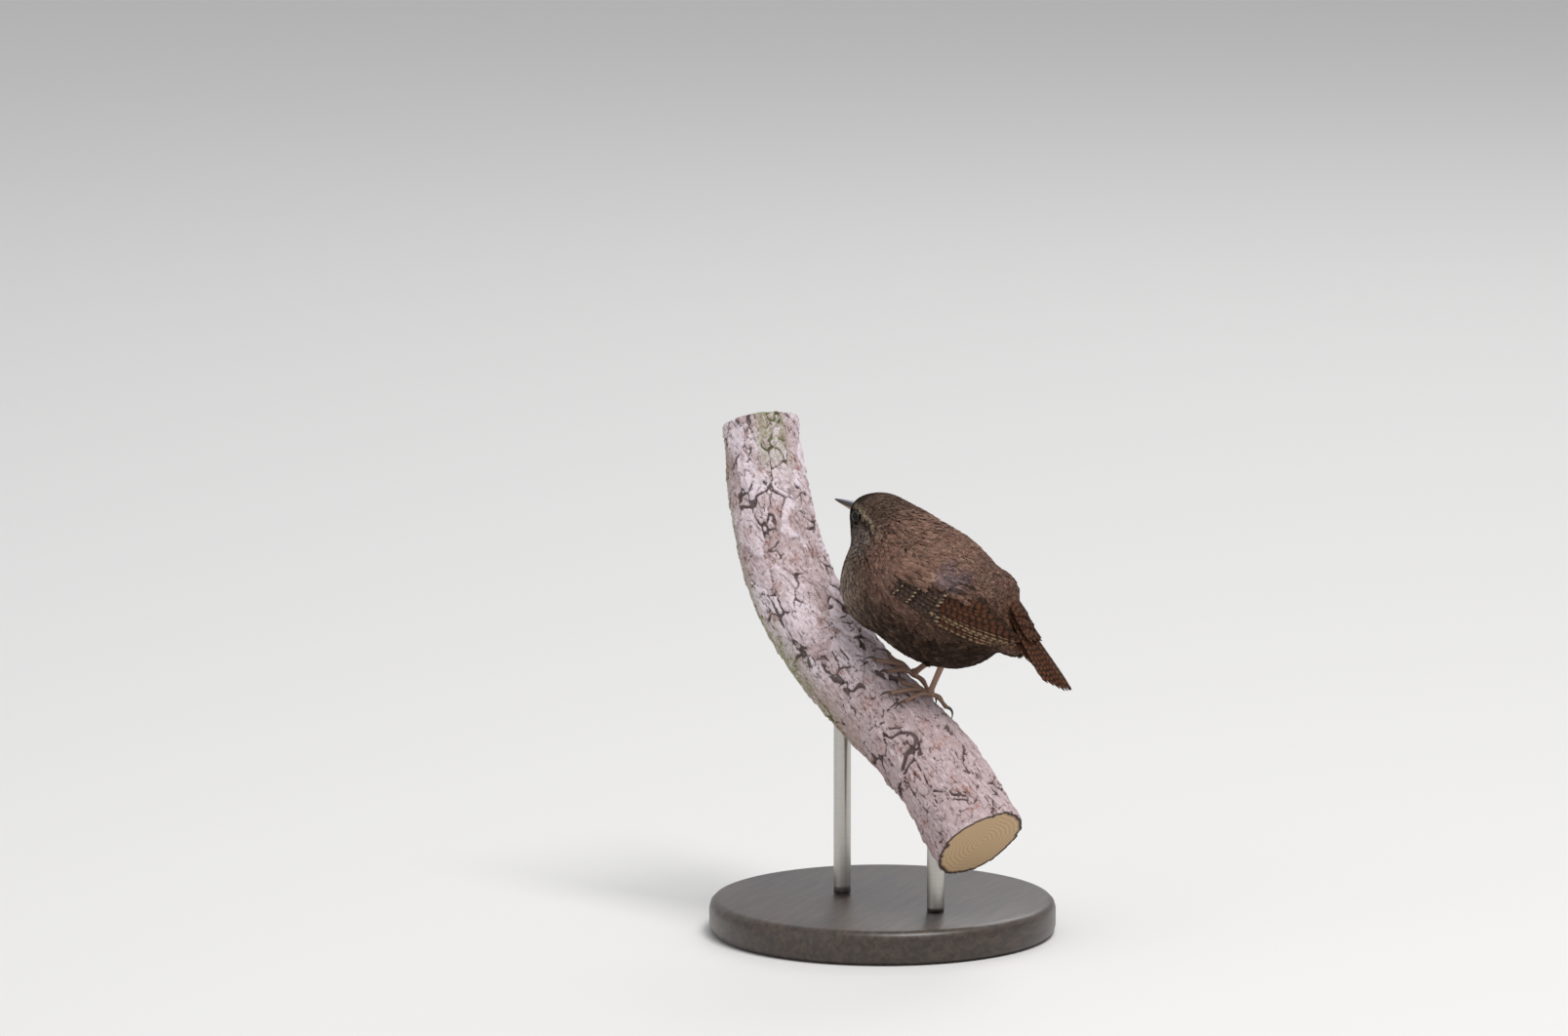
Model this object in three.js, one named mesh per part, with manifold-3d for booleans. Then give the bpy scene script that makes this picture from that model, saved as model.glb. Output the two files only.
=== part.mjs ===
// A life-size wren with its head turned, perched on a sloping cut branch that two rods hold over a flat base.
// Millimetres, +Z up. The bird faces -Y and its left side is +X.
// The origin is the middle of the base's underside.
import * as THREE from "three";
import { mergeVertices } from "three/addons/utils/BufferGeometryUtils.js";
import Module from "manifold-3d";

const wasm = await Module();
wasm.setup();

// Shared sizes
const GAP = 0.3; // between touching pieces
const FEET_AT = new THREE.Vector3(4, 14, 74); // the point on the branch between the two feet
const PLUMAGE = { roughness: 0.9, metalness: 0 };
const COLOURS = {
  crown: 0x5b4433,
  nape: 0x5a4434,
  back: 0x5c4230,
  wing: 0x6a432b,
  tail: 0x6d4228,
  horn: 0x55504c,
  horn_pale: 0x857b70,
  eye: 0x120d0a,
  leg: 0x9a7458,
  claw: 0x3b2c22,
  bark: 0xa08d86,
  stand: 0x3a3430,
  rod: 0x8d8a86,
};

// Torso: one main egg with smaller forms that fill its outline. Centres are from the point between the feet.
const TORSO_PITCH = 35; // degrees that the breast is raised
const TORSO_MID = [0, 2.4, 27.2];
const TORSO_SIZE = [17.5, 25.6, 19.3]; // half width, half length, half depth
const BREAST = { at: [0, -11, 30.5], size: [14.5, 13, 15.5], pitch: 20 };
const NECK = { at: [-0.5, -6, 40.8], size: [12, 12.5, 10.6], pitch: 20 };
const RUMP = { at: [0, 20.5, 27], size: [9.5, 8.5, 8], pitch: -45 };
const VENT = { at: [0, 24, 18.2], size: [7.2, 9.5, 4.8], pitch: 50 };
const BLEND = 1.1; // how softly the forms run into one another
const TORSO_RAYS = [38, 26];

// Head: its forms are forward, left and up of the middle of the skull
const HEAD_MID = [-0.8, -12.9, 46.8];
const HEAD_YAW = 22; // degrees turned to the bird's right
const HEAD_PITCH = 13;
const SKULL = { at: [-0.6, 0, 0.2], size: [8.2, 9.4, 7.9] };
const FACE = { at: [5.6, 0, 0.2], size: [4.9, 5.2, 4.9] };
const CHEEK = { at: [0.2, 0, -4.2], size: [7.7, 7.8, 6.6] };
const NAPE = { at: [-6.6, 0, -2.6], size: [8.8, 8.8, 8.8] };
const HEAD_RAYS = [32, 22];
const NECK_RAYS = [32, 20];
const HEAD_CUT = { at: [0, -13, 43.2], rise: 54, yaw: 12 }; // plane between head and neck
const NECK_CUT = { at: [0, -11.5, 38.4], rise: 52, yaw: 6 }; // plane between neck and torso

// Bill
const BILL = { from: 8.8, length: 10.6, low: 0.2, halfWidth: 1.75, upper: 1.9, lower: 1.5, droop: 0.5 };
const NOSTRIL = { along: 3.0, side: 0.92, up: 0.42, size: [0.3, 0.75, 0.24] };

// Eyes and lids
const EYE = { forward: 3.8, up: 0.9, radius: 1.75, sunk: 0.85 };
const LID = { ring: 1.72, thick: 0.34, forward: 12 };

// Branch: its middle line from the sawn top end down to the cut low end, and its radius along it
const BRANCH_LINE = [
  [-31.8, -63.5, 67.4],
  [-22.5, -55.4, 42.5],
  [-13.3, -44.6, 20.8],
  [-3.2, -23.3, 0],
  [2.3, -8.7, -10.9],
  [7.9, 5, -20.5],
  [19.5, 25.4, -41.2],
];
const BRANCH_RADII = [11.2, 12.2, 12.9, 13.1, 13.1, 13.3, 13.8];
const BRANCH_SIDES = 20;
const BRANCH_STEPS = 30;
const BRANCH_LUMPS = 0.45; // how far the bark swells and sinks, away from the feet
const FEET_ALONG = 0.68; // share of the branch's length at the point between the feet

// Legs and feet. around is degrees round the branch from its crest, + towards the bird's left.
const FEET = {
  left: { along: 5.2, around: -15, turn: 24, rise: [1.3, 4.1, 8.4] },
  right: { along: -4.6, around: -25, turn: 38, rise: [-3.6, 5.4, 4.6] },
};
const TARSUS = { length: 17.5, radius: 0.95, knee: 1.35, sides: 10 };
const FOOT_BALL = { radius: 1.25, height: 1.5 }; // where the toes meet
const TOE_CLEAR = 0.05; // between a toe and the gap over the bark
const TOES = [
  { name: "inner", turn: 25, length: 9.0, radius: 0.72, joints: 2 },
  { name: "middle", turn: 0, length: 12.4, radius: 0.78, joints: 3 },
  { name: "outer", turn: -25, length: 10.2, radius: 0.72, joints: 3 },
  { name: "hind", turn: 180, length: 7.8, radius: 0.82, joints: 2 },
];
const CLAW = { length: 4.0, hind: 5.4, radius: 0.55, arch: 1.25 };

// Wing: laid out flat as distances along it from the wrist and across it from its low edge
const WING = { wrist: [-7, 31], slope: 27, sheet: [18.6, 27.6, 20.6], tipHalf: 4.2 };
const WING_PAD = {
  from: 1,
  to: 41,
  sides: 14,
  thick: 0.35,
  deep: 5, // how far it reaches into the body, less towards the tip
  shallow: 0.5,
  halfWidths: [3.0, 5.0, 5.8, 5.6, 4.8, 3.2, 1.5],
  middle: [3.8, 5.4, 6.6, 7.0, 6.4, 5.0, 3.6],
};

// Rows of feathers from the first, lowest one to the last. Places are along and across the wing.
const WING_ROWS = [
  { count: 5, roots: [[9, 1.5], [12, 4.2]], tips: [[35, 0.4], [42, 3.9]], halfWidth: 1.8, lift: 0.5 },
  { count: 6, roots: [[11, 4.4], [14, 10]], tips: [[38.5, 4.8], [25.5, 11.4]], halfWidth: 2.05, lift: 0.62 },
  { count: 6, roots: [[6.5, 1.4], [9, 10]], tips: [[18, 0.5], [20.5, 11.2]], halfWidth: 1.75, lift: 1.1 },
  { count: 5, roots: [[2.5, 2], [5, 9]], tips: [[10.5, 1.2], [13.5, 10.8]], halfWidth: 1.7, lift: 1.5 },
];
const VANE = {
  shares: [0, 0.4, 0.78, 0.95, 1],
  widths: [0.55, 1, 0.95, 0.55, 0.15],
  thick: [0.9, 0.65, 0.6, 0.5, 0.35],
  ridge: 0.08, // the shaft stands over the vane
  slant: 0.42, // rise of the vane's outer edge over its middle
  sunk: 1.1, // how deep the root sits in
};

// Tail
const TAIL = { root: [0, 28, 24.2], slope: 53, length: 28.5, halfWidth: 6.2, tent: 2.2 };
const RECTRICES = { pairs: 6, from: -4, tipSpread: 5.9, rootSpread: 2.4, halfWidth: 1.55, graded: 6 };
const TAIL_COVERTS = [
  {
    count: 5,
    roots: [[-5, -2.6], [-5, 2.6]],
    tips: [[7, -3.2], [7, 3.2]],
    halfWidth: 1.6,
    lift: 1.5,
    sunk: 0,
    longer: 3,
  },
  {
    count: 5,
    roots: [[-1, -2.4], [-1, 2.4]],
    tips: [[13, -3.6], [13, 3.6]],
    halfWidth: 1.9,
    lift: -2.3,
    sunk: 3,
    longer: 3,
  },
];
const TAIL_STEM = [
  { along: -6, half: 3.2, thick: 4.5 },
  { along: 0, half: 3.8, thick: 5.0 },
  { along: 5, half: 3.6, thick: 3.6 },
  { along: 10, half: 3.0, thick: 0.9 },
];

// Stand
const BASE = { radius: 50, height: 10, bevel: 1.6, sides: 56 };
const ROD = { radius: 2.5, sides: 20 };
const RODS = { rear: 0.82, front: 0.525 }; // share of the branch's length over each rod

const radians = THREE.MathUtils.degToRad;
const vector = (p) => new THREE.Vector3(...p);

// The closed surface through rings of points, each end closed by a fan.
// Both halves of a ring are split alike.
function loft(rings) {
  const n = rings[0].length;
  const points = rings.flat();
  const faces = [];
  for (let i = 0; i + 1 < rings.length; i++)
    for (let k = 0; k < n; k++) {
      const a = i * n + k;
      const b = i * n + ((k + 1) % n);
      if (k < n / 2) faces.push(a, b, b + n, a, b + n, a + n);
      else faces.push(a, b, a + n, b, b + n, a + n);
    }
  for (const [start, turned] of [
    [0, true],
    [(rings.length - 1) * n, false],
  ]) {
    const middle = points.length;
    const ring = points.slice(start, start + n);
    points.push(ring.reduce((sum, p) => sum.add(p), new THREE.Vector3()).divideScalar(n));
    for (let k = 0; k < n; k++) {
      const a = start + k;
      const b = start + ((k + 1) % n);
      faces.push(...(turned ? [middle, b, a] : [middle, a, b]));
    }
  }
  const geometry = new THREE.BufferGeometry().setFromPoints(points);
  geometry.setIndex(faces);
  return geometry;
}

function solid(geometry) {
  const bare = geometry.clone();
  bare.deleteAttribute("normal");
  bare.deleteAttribute("uv");
  const merged = mergeVertices(bare, 1e-4);
  const made = new wasm.Manifold(
    new wasm.Mesh({
      numProp: 3,
      vertProperties: new Float32Array(merged.attributes.position.array),
      triVerts: new Uint32Array(merged.index.array),
    }),
  );
  if (made.volume() > 0) return made;
  const turned = new Uint32Array(merged.index.array);
  for (let i = 0; i < turned.length; i += 3)
    [turned[i + 1], turned[i + 2]] = [turned[i + 2], turned[i + 1]];
  return new wasm.Manifold(
    new wasm.Mesh({
      numProp: 3,
      vertProperties: new Float32Array(merged.attributes.position.array),
      triVerts: turned,
    }),
  );
}

function geometryOf(manifold) {
  const mesh = manifold.getMesh();
  const points = [];
  for (let i = 0; i < mesh.numVert; i++)
    points.push(...mesh.vertProperties.subarray(i * mesh.numProp, i * mesh.numProp + 3));
  const geometry = new THREE.BufferGeometry();
  geometry.setAttribute("position", new THREE.Float32BufferAttribute(points, 3));
  geometry.setIndex([...mesh.triVerts]);
  geometry.computeVertexNormals();
  return geometry;
}

const joined = (pieces) => pieces.reduce((sum, piece) => sum.add(piece));
const largest = (manifold) => manifold.decompose().reduce((a, b) => (b.volume() > a.volume() ? b : a));

// A big block that fills the side of a plane that its normal points to.
function halfSpace(point, normal) {
  const size = 200; // more than the whole bird
  const block = new THREE.BoxGeometry(size, size, size).translate(0, 0, size / 2);
  const turn = new THREE.Quaternion().setFromUnitVectors(new THREE.Vector3(0, 0, 1), normal);
  return solid(block.applyQuaternion(turn).translate(point.x, point.y, point.z));
}

// A round tube along points with a radius at each.
function tube(points, radii, sides) {
  const curve = new THREE.CatmullRomCurve3(points);
  const frames = curve.computeFrenetFrames(points.length - 1, false);
  return loft(
    points.map((p, i) =>
      Array.from({ length: sides }, (_, k) => {
        const angle = (2 * Math.PI * k) / sides;
        return p
          .clone()
          .addScaledVector(frames.normals[i], Math.cos(angle) * radii[i])
          .addScaledVector(frames.binormals[i], Math.sin(angle) * radii[i]);
      }),
    ),
  );
}

// Head directions: forward, left and up of the turned and tilted head, as columns of a matrix.
const headFrame = (() => {
  const yaw = radians(HEAD_YAW);
  const pitch = radians(HEAD_PITCH);
  const flat = new THREE.Vector3(-Math.sin(yaw), -Math.cos(yaw), 0);
  const forward = flat.clone().multiplyScalar(Math.cos(pitch)).add(new THREE.Vector3(0, 0, Math.sin(pitch)));
  const left = new THREE.Vector3(Math.cos(yaw), -Math.sin(yaw), 0);
  const up = new THREE.Vector3().crossVectors(forward, left).negate();
  return { forward, left, up: up.dot(new THREE.Vector3(0, 0, 1)) > 0 ? up : up.negate() };
})();

// A point given forward, left and up of the middle of the skull.
function headPoint(forward, left, up) {
  return vector(HEAD_MID)
    .addScaledVector(headFrame.forward, forward)
    .addScaledVector(headFrame.left, left)
    .addScaledVector(headFrame.up, up);
}

// Each form is an egg: a middle, three directions and three half sizes.
function bodyForm({ at, size, pitch }) {
  const p = radians(pitch);
  return {
    middle: vector(at),
    axes: [
      new THREE.Vector3(1, 0, 0),
      new THREE.Vector3(0, -Math.cos(p), Math.sin(p)),
      new THREE.Vector3(0, Math.sin(p), Math.cos(p)),
    ],
    size,
  };
}

function headForm({ at, size }) {
  return {
    middle: headPoint(...at),
    axes: [headFrame.left, headFrame.forward, headFrame.up],
    size,
  };
}

const forms = [
  bodyForm({ at: TORSO_MID, size: TORSO_SIZE, pitch: TORSO_PITCH }),
  ...[BREAST, NECK, RUMP, VENT].map(bodyForm),
  ...[SKULL, FACE, CHEEK, NAPE].map(headForm),
];

// Distance from the bird's surface, less than 0 inside: the forms' distances blended.
function bodyDistance(point) {
  let sum = 0;
  for (const { middle, axes, size } of forms) {
    const from = point.clone().sub(middle);
    const parts = axes.map((axis, i) => from.dot(axis) / size[i]);
    const level = Math.hypot(...parts);
    const slope = Math.hypot(...parts.map((part, i) => part / size[i]));
    const distance = slope > 1e-6 ? (level * (level - 1)) / slope : -Math.min(...size);
    sum += Math.exp(-distance / BLEND);
  }
  return -BLEND * Math.log(sum);
}

// The bird's surface seen from a point inside it, grown by some millimetres, out to a furthest distance.
function starSurface(middle, pole, [around, along], grown = 0, furthest = 80) {
  const sphere = new THREE.SphereGeometry(1, around, along);
  sphere.applyQuaternion(new THREE.Quaternion().setFromUnitVectors(new THREE.Vector3(0, 1, 0), pole));
  sphere.deleteAttribute("normal");
  sphere.deleteAttribute("uv");
  const ball = mergeVertices(sphere, 1e-4);
  const at = ball.attributes.position;
  const direction = new THREE.Vector3();
  for (let i = 0; i < at.count; i++) {
    direction.fromBufferAttribute(at, i).normalize();
    let inside = 0;
    let outside = furthest;
    for (let step = 0; step < 22; step++) {
      const half = (inside + outside) / 2;
      if (bodyDistance(middle.clone().addScaledVector(direction, half)) < grown) inside = half;
      else outside = half;
    }
    const p = middle.clone().addScaledVector(direction, inside);
    at.setXYZ(i, p.x, p.y, p.z);
  }
  return solid(ball);
}

const up = new THREE.Vector3(0, 0, 1);
const torsoMiddle = vector(TORSO_MID);
const tailwards = new THREE.Vector3(0, Math.cos(radians(TORSO_PITCH)), -Math.sin(radians(TORSO_PITCH)));

// Planes between head, neck and torso: the normal of each rises over the bird's front.
function cutPlane({ at, rise, yaw }) {
  const flat = Math.cos(radians(rise));
  const turn = radians(yaw);
  return {
    point: vector(at),
    normal: new THREE.Vector3(-Math.sin(turn) * flat, -Math.cos(turn) * flat, Math.sin(radians(rise))),
  };
}

const headCut = cutPlane(HEAD_CUT);
const neckCut = cutPlane(NECK_CUT);
const above = ({ point, normal }) => halfSpace(point.clone().addScaledVector(normal, GAP / 2), normal);
const below = ({ point, normal }) =>
  halfSpace(point.clone().addScaledVector(normal, -GAP / 2), normal.clone().negate());

// Branch: a point of its middle line with the direction down it, its crest and its left side.
const branchCurve = new THREE.CatmullRomCurve3(BRANCH_LINE.map(vector), false, "centripetal");
const branchLength = branchCurve.getLength();

function branchAt(share) {
  const along = branchCurve.getTangentAt(share);
  const crest = up.clone().addScaledVector(along, -up.dot(along)).normalize();
  const step = share * (BRANCH_RADII.length - 1);
  const low = Math.min(Math.floor(step), BRANCH_RADII.length - 2);
  return {
    middle: branchCurve.getPointAt(share),
    crest,
    side: new THREE.Vector3().crossVectors(along, crest),
    radius: THREE.MathUtils.lerp(BRANCH_RADII[low], BRANCH_RADII[low + 1], step - low),
  };
}

// A point round the branch, at some height over its bark.
function onBranch(share, around, height = 0) {
  const { middle, crest, side, radius } = branchAt(share);
  return middle
    .clone()
    .addScaledVector(crest, Math.cos(around) * (radius + height))
    .addScaledVector(side, Math.sin(around) * (radius + height));
}

// The bark's swelling, which fades out under the feet.
function barkLump(share, around) {
  const clear = THREE.MathUtils.smoothstep(Math.abs(share - FEET_ALONG) * branchLength, 14, 24);
  const wave = Math.sin(3 * around + 11 * share) + 0.7 * Math.sin(5 * around - 23 * share);
  return BRANCH_LUMPS * clear * wave * 0.6;
}

function branchSolid(grown = 0) {
  const rings = [];
  for (let i = 0; i <= BRANCH_STEPS; i++) {
    const share = i / BRANCH_STEPS;
    rings.push(
      Array.from({ length: BRANCH_SIDES }, (_, k) => {
        const around = (2 * Math.PI * k) / BRANCH_SIDES;
        return onBranch(share, around, barkLump(share, around) + grown);
      }),
    );
  }
  return solid(loft(rings));
}

// A foot: a short ball where its four toes meet, and a toe curve over the bark for each.
function toePath(foot, toe, height, from, to, steps) {
  const start = FEET_ALONG + foot.along / branchLength;
  const turn = radians(foot.turn + toe.turn);
  return Array.from({ length: steps + 1 }, (_, i) => {
    const distance = from + ((to - from) * i) / steps;
    const { radius } = branchAt(start);
    return onBranch(
      start - (Math.sin(turn) * distance) / branchLength,
      radians(foot.around) + (Math.cos(turn) * distance) / (radius + 1),
      height(i / steps),
    );
  });
}

function toeSolid(foot, toe) {
  const steps = 6;
  const radii = Array.from({ length: steps + 1 }, (_, i) => {
    const share = i / steps;
    const knuckle = 0.1 * Math.abs(Math.sin(Math.PI * toe.joints * share));
    return toe.radius * (1.05 - 0.28 * share) - knuckle;
  });
  const low = toe.radius + GAP + TOE_CLEAR;
  const arch = (share) => low + 0.45 * Math.sin(Math.PI * Math.min(1, share * 1.15)) ** 2;
  const path = toePath(foot, toe, arch, 0, toe.length, steps);
  return solid(tube(path, radii, 6));
}

function clawSolid(foot, toe) {
  const length = toe.name === "hind" ? CLAW.hind : CLAW.length;
  const steps = 5;
  const from = toe.length + GAP;
  const low = toe.radius * 0.75 + GAP;
  const height = (share) =>
    low + CLAW.arch * Math.sin(Math.PI * Math.min(1, share * 0.95)) - (low - 0.45) * share;
  const path = toePath(foot, toe, height, from, from + length * 0.86, steps);
  const radii = Array.from({ length: steps + 1 }, (_, i) => CLAW.radius * (1 - 0.82 * (i / steps) ** 1.3));
  return solid(tube(path, radii, 6));
}

function footMiddle(foot, height) {
  return onBranch(FEET_ALONG + foot.along / branchLength, radians(foot.around), height);
}

// Wing sheet: how far the left wing's base lies from the middle plane, at a place seen from the side.
const sheetForm = bodyForm({ at: TORSO_MID, size: WING.sheet, pitch: TORSO_PITCH });

function sheetSide(y, z) {
  const from = new THREE.Vector3(0, y, z).sub(torsoMiddle);
  const round =
    (from.dot(sheetForm.axes[1]) / WING.sheet[1]) ** 2 + (from.dot(sheetForm.axes[2]) / WING.sheet[2]) ** 2;
  const bend = 0.6; // past this the sheet runs on straight
  const kept = Math.sqrt(1 - bend);
  const level = round < bend ? Math.sqrt(1 - round) : kept - (round - bend) / (2 * kept);
  const side = WING.sheet[0] * level;
  const soft = 2;
  return WING.tipHalf + soft * Math.log(1 + Math.exp((side - WING.tipHalf) / soft));
}

// A point of the left wing, from its distances along and across and its height over the sheet.
function onWing(along, across, height) {
  const slope = radians(WING.slope);
  const y = WING.wrist[0] + along * Math.cos(slope) + across * Math.sin(slope);
  const z = WING.wrist[1] - along * Math.sin(slope) + across * Math.cos(slope);
  const step = 0.05;
  const out = new THREE.Vector3(
    1,
    -(sheetSide(y + step, z) - sheetSide(y - step, z)) / (2 * step),
    -(sheetSide(y, z + step) - sheetSide(y, z - step)) / (2 * step),
  ).normalize();
  return new THREE.Vector3(sheetSide(y, z), y, z).addScaledVector(out, height);
}

// A feather on a sheet: a closed strip from its root to its tip.
// Its outer edge is raised and its inner edge tucked down.
function vane(sheet, root, tip, { halfWidth, lift, outer = -1, sunk = VANE.sunk }) {
  const [da, dc] = [tip[0] - root[0], tip[1] - root[1]];
  const length = Math.hypot(da, dc);
  return solid(
    loft(
      VANE.shares.map((share, i) => {
        const half = halfWidth * VANE.widths[i];
        const middle = lift - sunk * (1 - share) ** 3;
        const place = (side, height) =>
          sheet(
            root[0] + da * share - (dc / length) * side * half,
            root[1] + dc * share + (da / length) * side * half,
            middle + outer * side * VANE.slant * VANE.widths[i] + height,
          );
        const thick = VANE.thick[i];
        return [
          place(-1, 0),
          place(0, VANE.ridge),
          place(1, 0),
          place(1, -thick),
          place(0, -thick),
          place(-1, -thick),
        ];
      }),
    ),
  );
}

const between = (a, b, share) => a.map((value, i) => THREE.MathUtils.lerp(value, b[i], share));

function wingFeathers() {
  const vanes = [];
  for (const row of WING_ROWS)
    for (let i = 0; i < row.count; i++) {
      const share = i / (row.count - 1);
      vanes.push(vane(onWing, between(...row.roots, share), between(...row.tips, share), row));
    }
  return joined(vanes);
}

function wingPad() {
  const { from, to, sides, thick, deep, shallow, halfWidths, middle } = WING_PAD;
  return solid(
    loft(
      halfWidths.map((half, i) => {
        const along = THREE.MathUtils.lerp(from, to, i / (halfWidths.length - 1));
        const depth = THREE.MathUtils.lerp(deep, shallow, THREE.MathUtils.smoothstep(i, 3, 6));
        return Array.from({ length: sides }, (_, k) => {
          const angle = (2 * Math.PI * k) / sides;
          const height = Math.sin(angle) * (Math.sin(angle) > 0 ? thick : depth);
          return onWing(along, middle[i] - Math.cos(angle) * half, height);
        });
      }),
    ),
  );
}

function mirrored(manifold) {
  return manifold.mirror([1, 0, 0]);
}

// Tail: a flat tapering fan that slopes down behind.
function onTail(along, across, height) {
  const slope = radians(TAIL.slope);
  const down = new THREE.Vector3(0, Math.cos(slope), -Math.sin(slope));
  const out = new THREE.Vector3(0, Math.sin(slope), Math.cos(slope));
  const tent = -TAIL.tent * (across / TAIL.halfWidth) ** 2;
  return vector(TAIL.root)
    .addScaledVector(down, along)
    .addScaledVector(out, height + tent)
    .add(new THREE.Vector3(across, 0, 0));
}

// Twelve long feathers, the middle pair on top and each next one under it.
// Short ones lie over and under the root.
function tailFeathers() {
  const { pairs, tipSpread, rootSpread, halfWidth, graded } = RECTRICES;
  const vanes = [];
  for (const side of [-1, 1])
    for (let i = 0; i < pairs; i++) {
      const share = (i + 0.5) / pairs;
      const length = TAIL.length - graded * share ** 2;
      const options = { halfWidth, lift: 0.35 - 0.15 * i, outer: side, sunk: 0 };
      const root = [RECTRICES.from, side * rootSpread * share];
      vanes.push(vane(onTail, root, [length, side * tipSpread * share], options));
    }
  for (const row of TAIL_COVERTS)
    for (let i = 0; i < row.count; i++) {
      const share = i / (row.count - 1);
      const middle = 1 - Math.abs(2 * share - 1);
      const [along, across] = between(...row.tips, share);
      const options = { ...row, outer: across < 0 ? -1 : 1 };
      const tip = [along + row.longer * middle, across];
      vanes.push(vane(onTail, between(...row.roots, share), tip, options));
    }
  return joined(vanes);
}

// The stem that carries the tail's feathers: ten-sided rings, lower at both sides.
function tailStem() {
  const around = [-1, -0.6, 0, 0.6, 1, 1, 0.6, 0, -0.6, -1];
  return solid(
    loft(
      TAIL_STEM.map(({ along, half, thick }) =>
        around.map((across, k) => {
          const side = k < around.length / 2 ? 0.5 : -0.5;
          return onTail(along, across * half, side * thick * (Math.abs(across) === 1 ? 0.6 : 1));
        }),
      ),
    ),
  );
}

// Build the bird's pieces
const materials = {};
function material(name, extra = {}) {
  materials[name] ??= new THREE.MeshStandardMaterial({ color: COLOURS[name], ...PLUMAGE, ...extra });
  return materials[name];
}

const bird = new THREE.Group();
bird.position.copy(FEET_AT);

function place(name, manifold, finish) {
  const mesh = new THREE.Mesh(geometryOf(largest(manifold)), finish);
  mesh.name = name;
  bird.add(mesh);
}

const beakwards = headFrame.forward;
const HEAD_REACH = 26; // the head's and neck's rays end within the torso
const NECK_REACH = 30;
const skullBody = starSurface(vector(HEAD_MID), beakwards, HEAD_RAYS, 0, HEAD_REACH);
const wholeTorso = starSurface(torsoMiddle, tailwards, TORSO_RAYS);
const torsoGrown = starSurface(torsoMiddle, tailwards, TORSO_RAYS, GAP + 0.1);
const neckBody = starSurface(vector(NECK.at), up, NECK_RAYS, 0, NECK_REACH);

// The eye's middle lies a little under the face's surface, straight out to its side.
function eyeMiddle(side) {
  let out = 0;
  while (bodyDistance(headPoint(EYE.forward, side * out, EYE.up)) < -EYE.sunk) out += 0.02;
  return headPoint(EYE.forward, side * out, EYE.up);
}

const eyeBall = (side, grown) => {
  const at = eyeMiddle(side);
  return solid(new THREE.SphereGeometry(EYE.radius + grown, 16, 10).translate(at.x, at.y, at.z));
};

function lid(side) {
  const forward = radians(LID.forward);
  const out = headFrame.left
    .clone()
    .multiplyScalar(side * Math.cos(forward))
    .addScaledVector(headFrame.forward, Math.sin(forward));
  const turn = new THREE.Quaternion().setFromUnitVectors(up, out);
  const at = eyeMiddle(side).addScaledVector(out, EYE.radius * 0.62);
  const ring = new THREE.TorusGeometry(LID.ring, LID.thick, 5, 16).applyQuaternion(turn);
  return solid(ring.translate(at.x, at.y, at.z));
}

// One half of the bill: rings from its root to its tip, flat where the halves meet.
function billHalf(rise) {
  const steps = 9;
  const sides = 8;
  const rings = [];
  for (let i = 0; i <= steps; i++) {
    const share = i / steps;
    const taper = (1 - share) ** 0.8 * 0.93 + 0.07;
    const drop = -BILL.droop * share ** 2.2;
    rings.push(
      Array.from({ length: sides + 1 }, (_, k) => {
        const angle = (Math.PI * k) / sides;
        const across = -Math.cos(angle) * BILL.halfWidth * taper;
        const height = Math.sign(rise) * GAP * 0.5 + Math.sin(angle) ** 0.85 * rise * taper;
        return headPoint(BILL.from + BILL.length * share, across, BILL.low + drop + height);
      }),
    );
  }
  return solid(loft(rings));
}

const billUpper = billHalf(BILL.upper);
const billLower = billHalf(-BILL.lower);
function nostril(side) {
  const { along, side: out, up: high, size } = NOSTRIL;
  const at = headPoint(BILL.from + along, side * out, BILL.low + high);
  const pit = new THREE.SphereGeometry(1, 8, 6).scale(...size);
  const turn = new THREE.Matrix4().makeBasis(headFrame.left, headFrame.forward, headFrame.up);
  return solid(pit.applyMatrix4(turn).translate(at.x, at.y, at.z));
}

const skull = skullBody.intersect(above(headCut)).add(lid(1)).add(lid(-1));
const eyeRoom = eyeBall(1, GAP).add(eyeBall(-1, GAP));
const head = skull.subtract(eyeRoom);
const faceGrown = starSurface(vector(HEAD_MID), beakwards, HEAD_RAYS, GAP, HEAD_REACH);
const nostrils = nostril(1).add(nostril(-1));
place("head", head, material("crown"));
place("bill_upper", billUpper.subtract(faceGrown).subtract(nostrils), material("horn"));
place("bill_lower", billLower.subtract(faceGrown), material("horn_pale"));
for (const [name, side] of [
  ["left", 1],
  ["right", -1],
])
  place(`eye_${name}`, eyeBall(side, 0), material("eye", { roughness: 0.08 }));
place("neck", neckBody.intersect(below(headCut)).intersect(above(neckCut)), material("nape"));

const tail = largest(tailStem().add(tailFeathers()).subtract(torsoGrown));
place("torso", wholeTorso.intersect(below(neckCut)), material("back"));
place("tail", tail, material("tail"));

const branch = branchSolid();
const branchGrown = branchSolid(GAP);
place("perch", branch, material("bark", { roughness: 0.95 }));

const leftWing = largest(wingPad().add(wingFeathers()).subtract(torsoGrown)).subtract(tail);
place("wing_left", leftWing, material("wing"));
place("wing_right", mirrored(leftWing), material("wing"));

const ball = (at, radius) => solid(new THREE.SphereGeometry(radius, 10, 6).translate(at.x, at.y, at.z));

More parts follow.
